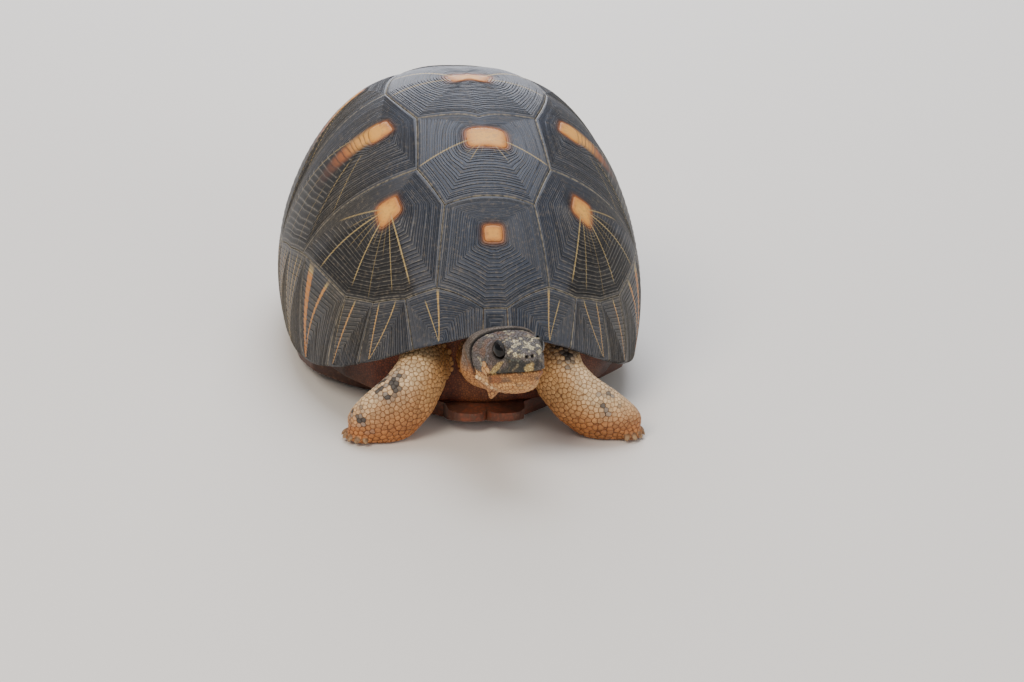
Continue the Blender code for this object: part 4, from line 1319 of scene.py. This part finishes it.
# A grid of rings closed by a fan at each end; rings run so that their faces point out
def ringMesh(name, rings, material):
    count = len(rings[0])
    last = (len(rings) - 1) * count
    points = np.concatenate([*rings, np.mean(rings[0], 0)[None], np.mean(rings[-1], 0)[None]])
    quads, triangles = [], []
    for row in range(0, last, count):
        quads += [(row + a, row + b, row + b + count, row + a + count) for a, b in around(count)]
    for a, b in around(count):
        triangles += [(b, a, last + count), (last + a, last + b, last + count + 1)]
    return meshObject(name, points, quads, triangles, material)


# The eyeball: a smooth ball whose iris and pupil are marked by the distance from its axis
def addEye(side, word, material):
    axis, along, up = eyeAxes(side)
    centre = np.array(face["eye"]) * (side, 1, 1)
    turns = np.linspace(0, math.tau, 40, endpoint=False)
    rings, values = [], []
    for tilt in np.linspace(3, 150, 30):
        sunk, out = math.sin(math.radians(tilt)), math.cos(math.radians(tilt))
        flat = face["eyeRadius"] * sunk * np.stack([np.cos(turns), np.sin(turns)], 1)
        under = ramped(inOpening(flat[:, 0], flat[:, 1]), 1.0, 1.35)  # the part behind the lids draws back
        flat *= (1 - 0.42 * under)[:, None]
        deep = face["eyeRadius"] * out - 1.2 * under
        ring = centre + flat[:, :1] * along + flat[:, 1:] * up + deep[:, None] * axis
        rings.append(inWorld(ring))
        values += [(tilt / 90, 0, 0)] * len(turns)
    eye = ringMesh(f"eye{word.capitalize()}", rings, material)
    setAttribute(eye, "tilt", values + [(0, 0, 0), (2, 0, 0)])
    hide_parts(f"eye_{word}")
    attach(eye, "root")


# Both lids of an eye in one closed ring: a pale wrinkled lower one, and an upper one hooded by the brow,
# painted near black as the brow's shade
lids = {
    # in mm; pairs are for the lower and the upper lid
    "width": (1.2, 1.5), "thickness": (0.42, 0.55), "wrinkles": 0.08, "hood": 1.0, "above": 0.2,
    "sections": 12, "most": 0.95,
}


def addLids(side, word, material):
    axis, along, up = eyeAxes(side)
    centre = np.array(face["eye"]) * (side, 1, 1)
    turns = np.linspace(0, math.tau, 72, endpoint=False)
    upper = np.clip(np.sin(turns) * 1.3, 0, 1)
    outline = np.stack([face["opening"][0] * np.cos(turns),
                        face["opening"][1] * np.sin(turns) - lids["hood"] * upper], 1)
    width, thick = (low + (high - low) * upper for low, high in (lids["width"], lids["thickness"]))
    rings, tints = [], []
    for share in np.linspace(0, 1, lids["sections"], endpoint=False):
        turn = share * math.tau
        across = (1 - math.cos(turn)) / 2 * width
        lift = math.sin(turn) * thick
        flat = outline * (1 + across / np.hypot(outline[:, 0], outline[:, 1]))[:, None]
        reach = np.minimum(np.hypot(flat[:, 0], flat[:, 1]), face["eyeRadius"] * lids["most"])
        flat *= (reach / np.hypot(flat[:, 0], flat[:, 1]))[:, None]
        height = np.sqrt(face["eyeRadius"] ** 2 - reach ** 2) + lids["above"] + lift
        height += lids["wrinkles"] * np.sin(turns * 17 + share * 20) * (lift > 0)
        rings.append(inWorld(centre + flat[:, :1] * along + flat[:, 1:] * up + height[:, None] * axis))
        # Lilac on the lower lid, black elsewhere: painted shade under the brow on the upper lid.
        pale = np.clip(1.2 - 2 * upper, 0, 1)[:, None] * ramped(np.abs(share - 0.5), 0.42, 0.3)
        tints.append(paint["lilac"] * pale + paint["black"] * (1 - pale))
    grid = np.stack(rings, 1).reshape(-1, 3)
    quads = []
    for k, after in around(len(turns)):
        here, there = k * lids["sections"], after * lids["sections"]
        quads += [(here + a, here + b, there + b, there + a) for a, b in around(lids["sections"])]
    lid = meshObject(f"eyelids{word.capitalize()}", grid, quads, np.zeros((0, 3), int), material)
    setAttribute(lid, "tint", np.stack(tints, 1).reshape(-1, 3))
    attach(lid, "root")


# Claws: short blunt nails at the front of each foot, side by side
claws = {
    # foot: (centre of the last joint, first direction, step, count)
    "front_left": ((0.086, -0.158, 0.0065), -92, 25, 5),
    "front_right": ((-0.078, -0.158, 0.007), -92, 25, 5),
    "hind_left": ((0.083, 0.145, 0.007), -12, 32, 4),
    "hind_right": ((-0.083, 0.145, 0.007), -12, 32, 4),
}
nails = {"root": 0.0078, "length": 0.0054, "radius": 0.0026, "drop": 0.0028, "flatness": 0.72,
         "curve": 1.35, "rings": 9, "sides": 14}


def addClaws(material):
    shares = np.linspace(0, 1, nails["rings"])
    turns = np.linspace(0, math.tau, nails["sides"], endpoint=False)
    values = np.repeat(shares, nails["sides"]).tolist() + [0, 1]
    for foot, (centre, first, step, count) in claws.items():
        side = math.copysign(1, centre[0])
        base = np.array(centre) + (0, shiftY, 0)
        for k in range(count):
            turn = math.radians(first + step * k)
            away = np.array((side * math.cos(turn), math.sin(turn), 0))
            across = np.array((-away[1], away[0], 0))
            rings = []
            for share in shares:
                radius = nails["radius"] * (1 - 0.62 * share ** 1.6) * (1 if share < 1 else 0.6)
                out = nails["length"] * math.sin(share * nails["curve"]) / math.sin(nails["curve"])
                spine = base + away * (nails["root"] + out)
                low = base[2] - 0.0012 - nails["drop"] * share ** 1.5
                spine[2] = max(low, radius * nails["flatness"] + 0.0004)
                tall = nails["flatness"] * np.sin(turns)[:, None] * (0, 0, 1)
                rings.append(spine + radius * (np.cos(turns)[:, None] * across + tall))
            nail = ringMesh(f"claw_{foot}_{k + 1}", rings, material)
            setAttribute(nail, "edge", [(value, 0, 0) for value in values])
            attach(nail, "root")


# Soft scaly hide: leathery and matt, creased between the scales, with a faint glow of blood under it.
def hideMaterial():
    material, tree, shader = newMaterial("hide, leathery")
    tint = addNode(tree, "Attribute", attribute_name="tint")
    place = addNode(tree, "TexCoord")
    crease = addNode(tree, "TexVoronoi", {"Vector": (place, 3), "Scale": 620.0}, feature="DISTANCE_TO_EDGE")
    grime = addNode(tree, "TexNoise", {"Vector": (place, 3), "Scale": 160.0, "Detail": 4.0})  # 6 mm
    shade = addNode(tree, "ValToRGB", {"Fac": crease}, [(0.0, "#8d7862"), (0.25, "#e8ddd0")])
    base = addNode(tree, "Mix", {0: 1.0, 6: tint, 7: shade}, **multiply)
    dirt = addNode(tree, "ValToRGB", {"Fac": grime}, [(0.45, "#ffffff"), (0.75, "#a58a70")])
    base = addNode(tree, "Mix", {0: 0.7, 6: (base, 2), 7: dirt}, **multiply)
    bump = addNode(tree, "Bump", {"Height": crease, "Strength": 0.6, "Distance": 0.4 * mm})
    wrinkle = addNode(tree, "Bump", {"Height": grime, "Strength": 0.5, "Distance": 0.8 * mm, "Normal": bump})
    plug(tree, shader, {"Base Color": (base, 2), "Normal": wrinkle, "Roughness": 0.62})
    return material


# Scales of the legs and head: thin horn, satin on its crown, darker round its edge.
def scaleMaterial():
    material, tree, shader = newMaterial("horn scales, satin")
    tint = addNode(tree, "Attribute", attribute_name="tint")
    edge = addNode(tree, "SeparateXYZ", {0: (addNode(tree, "Attribute", attribute_name="edge"), 1)})
    place = addNode(tree, "TexCoord")
    wear = addNode(tree, "TexNoise", {"Vector": (place, 3), "Scale": 700.0, "Detail": 3.0})  # 1.4 mm
    # Darker towards each scale's sunken edge.
    rim = addNode(tree, "ValToRGB", {"Fac": edge}, [(0.45, "#ffffff"), (1.0, "#8f7052")])
    base = addNode(tree, "Mix", {0: 0.85, 6: tint, 7: rim}, **multiply)
    mottled = addNode(tree, "ValToRGB", {"Fac": wear}, [(0.3, "#c2ad94"), (0.6, "#ffffff")])
    base = addNode(tree, "Mix", {0: 0.6, 6: (base, 2), 7: mottled}, **multiply)
    rough = addNode(tree, "MapRange", {"Value": wear, "To Min": 0.38, "To Max": 0.66})
    bump = addNode(tree, "Bump", {"Height": wear, "Strength": 0.4, "Distance": 0.2 * mm})
    plug(tree, shader, {"Base Color": (base, 2), "Roughness": rough, "Normal": bump})
    return material


# The eye: a wet, nearly black ball with a dark brown iris round the pupil.
def eyeMaterial():
    material, tree, shader = newMaterial("eye, wet")
    tilt = addNode(tree, "SeparateXYZ", {0: (addNode(tree, "Attribute", attribute_name="tilt"), 1)})
    rings = addNode(tree, "ValToRGB", {"Fac": tilt}, [  # pupil, iris and the dark rim of the white
        (0.0, "#020202"), (0.34, "#030202"), (0.38, "#120b07"), (0.52, "#0c0805"), (0.6, "#040303")])
    plug(tree, shader, {"Base Color": rings, "Roughness": 0.1, "IOR": 1.38})  # the cornea
    return material


# Nails: grey-brown horn, pale and worn at the tip.
def clawMaterial():
    material, tree, shader = newMaterial("nail horn")
    edge = addNode(tree, "SeparateXYZ", {0: (addNode(tree, "Attribute", attribute_name="edge"), 1)})
    place = addNode(tree, "TexCoord")
    streak = addNode(tree, "TexNoise", {"Vector": (place, 3), "Scale": 520.0, "Detail": 3.0})  # 2 mm
    tone = addNode(tree, "ValToRGB", {"Fac": edge}, [(0.1, "#7d5a3b"), (0.55, "#99744e"), (1.0, "#ad8d66")])
    worn = addNode(tree, "ValToRGB", {"Fac": streak}, [(0.35, "#8f7c68"), (0.65, "#ffffff")])
    base = addNode(tree, "Mix", {0: 0.8, 6: tone, 7: worn}, **multiply)
    bump = addNode(tree, "Bump", {"Height": streak, "Strength": 0.4, "Distance": 0.2 * mm})
    plug(tree, shader, {"Base Color": (base, 2), "Normal": bump, "Roughness": 0.5})
    return material


# Worn keratin: the shell's horn. Dark, satin and finely ridged, with dust. Its slate is partly painted sky
# reflection, a blue-grey over the middle of the dome, and its pale ring crests are partly worn paler horn and
# partly painted highlight.
hornColors = {
    # Slate: the horn's dark colour with a blue-grey that is painted sky reflection. Ridge: pale ring crests,
    # partly painted highlight.
    "slate": "#2f3541", "flankColor": "#37322a", "black": "#12100f", "ridge": "#918b7e", "groove": "#161616",
    "ray": "#b39b66", "warmRay": "#b87a3c", "seam": "#958d7d", "dust": "#85755f",
    "sides": (30 * mm, 100 * mm),
    "areola": ((0.1, "#33241b"), (0.3, "#5e3a24"), (0.44, "#8f552b"), (0.53, "#b87536"), (0.68, "#cf8c3e"),
               (1.0, "#e2a54a")),
    "band": ((0.0, "#dc9c40"), (0.11, "#cb8f42"), (0.22, "#9c5b2e"), (0.38, "#5a3420"), (0.56, "#1f1714")),
}
# The same horn under the body: rusty, rubbed paler and dusty, with dark fans. Its sides, from about 24 mm off
# the middle, darken towards near black: painted shadow.
plastronColors = {
    # Near black on the plastron's sides: painted shadow.
    "slate": "#7a4028", "flankColor": "#221815", "black": "#3d261e", "ridge": "#9b6a4c", "groove": "#4a2a1e",
    "ray": "#94643f", "warmRay": "#94643f", "seam": "#4c2d20", "dust": "#a07c5e",
    "sides": (24 * mm, 44 * mm),
    "areola": ((0.2, "#74422d"), (0.4, "#7d4a32"), (0.5, "#844f37"), (0.8, "#8d5a3d"), (1.0, "#956243")),
    "band": ((0.0, "#956243"), (0.5, "#844f37"), (1.0, "#7a4028")),
}


def shellHorn(name, colors):
    material, tree, shader = newMaterial(name)
    growth, rays, centre = (
        addNode(tree, "SeparateXYZ", {0: (addNode(tree, "Attribute", attribute_name=layer), 1)})
        for layer in ("growth", "rays", "centre"))
    place = addNode(tree, "TexCoord")
    broad, speck, fine = (  # clouds of 45 mm, wear of 2 mm, grit of 0.7 mm
        addNode(tree, "TexNoise", {"Vector": (place, 3), "Scale": scale, "Detail": detail})
        for scale, detail in ((22.0, 3.0), (420.0, 4.0), (1500.0, 2.0)))
    # Ranges brought to 0..1: (what it reads, from, to)
    trough, crest, inBand, halo, inRay, warm, seam = (
        addNode(tree, "MapRange", {"Value": source, "From Min": low, "From Max": high})
        for source, low, high in (
            ((growth, 0), -0.3, -1.0), ((growth, 0), 0.35, 1.0), ((rays, 2), 0.0, 0.65),
            ((centre, 0), -1.0, 1.0), ((rays, 0), 0.0, 0.5), ((rays, 1), 1.0, 1.5),
            ((growth, 2), 0.26, 0.06)))
    # Ramps: (what it reads, stops)
    cloud, broken, worn, dusty, faded, inHalo, bandColor, haloColor = (
        addNode(tree, "ValToRGB", {"Fac": source}, stops) for source, stops in (
            (broad, ((0.38, 0.4), (0.6, 1.0))), (speck, ((0.33, 0.15), (0.6, 1.0))),
            (speck, ((0.3, 0.7), (0.5, 1.0))), (speck, ((0.55, 0.0), (0.8, 0.4))),
            ((centre, 2), ((0.3, 1.0), (0.62, 0.0))), (halo, ((0.06, 0.0), (0.32, 0.42), (0.5, 1.0))),
            ((centre, 2), colors["band"]), (halo, colors["areola"])))
    across = addNode(tree, "Math", {0: addNode(tree, "SeparateXYZ", {0: (place, 3)})}, operation="ABSOLUTE")
    near, far = colors["sides"]
    aside = addNode(tree, "MapRange", {"Value": across, "From Min": near, "From Max": far})
    cloud, crest, inBand = (addNode(tree, "Math", {0: one, 1: other}, operation="MULTIPLY")
                            for one, other in ((cloud, aside), (crest, broken), (inBand, faded)))
    inRay = addNode(tree, "Math", {0: inRay, 1: (rays, 1)}, operation="MULTIPLY", use_clamp=True)
    ringed = addNode(tree, "Math", {0: inBand, 1: inHalo}, operation="MAXIMUM")
    ringed = addNode(tree, "Math", {0: trough, 1: ringed}, operation="MULTIPLY")
    rayColor = addNode(tree, "Mix", {0: warm, 6: colors["ray"], 7: colors["warmRay"]}, data_type="RGBA")
    tone = addNode(tree, "MapRange", {"Value": (growth, 1), "To Min": 0.75, "To Max": 1.25})
    # The middle in slate, clouds of the flank colour towards the sides; on the plastron that flank colour is
    # near black, a painted shadow.
    base = addNode(tree, "Mix", {0: cloud, 6: colors["slate"], 7: colors["flankColor"]}, data_type="RGBA")
    base = addNode(tree, "Mix", {0: 1.0, 6: (base, 2), 7: tone}, **multiply)
    # The ridge colour on the ring crests is partly a painted highlight.
    # From the bottom up: (where it shows, colour, how much)
    for mask, color, amount in (((centre, 1), colors["black"], 0.92), (trough, colors["groove"], 0.55),
                                (crest, colors["ridge"], 0.55), (inHalo, haloColor, worn),
                                (inBand, bandColor, 0.96), (ringed, colors["groove"], 0.75),
                                (inRay, (rayColor, 2), worn), (seam, colors["seam"], broken),
                                (dusty, colors["dust"], 0.8)):
        share = addNode(tree, "Math", {0: mask, 1: amount}, operation="MULTIPLY", use_clamp=True)
        base = addNode(tree, "Mix", {0: share, 6: (base, 2), 7: color}, data_type="RGBA")
    rough = addNode(tree, "MapRange", {"Value": speck, "To Min": 0.42, "To Max": 0.66})
    bump = addNode(tree, "Bump", {"Height": fine, "Strength": 0.35, "Distance": 0.15 * mm})
    plug(tree, shader, {"Base Color": (base, 2), "Roughness": rough, "Normal": bump, "IOR": 1.5})  # keratin
    return material


addCamera()
addLights()
addFloor()
horn = shellHorn("keratin, worn satin", hornColors)
addCarapace(horn)
addMarginals(horn)
addPlastron(shellHorn("keratin, rubbed and dusty", plastronColors))
print("shell done")
leather = hideMaterial()
addFlesh(leather, scaleMaterial())
print("skin and scales done")
eye, nail = eyeMaterial(), clawMaterial()
for side, word in ((1, "left"), (-1, "right")):
    addEye(side, word, eye)
    addLids(side, word, leather)
addClaws(nail)
print("eyes and claws done")
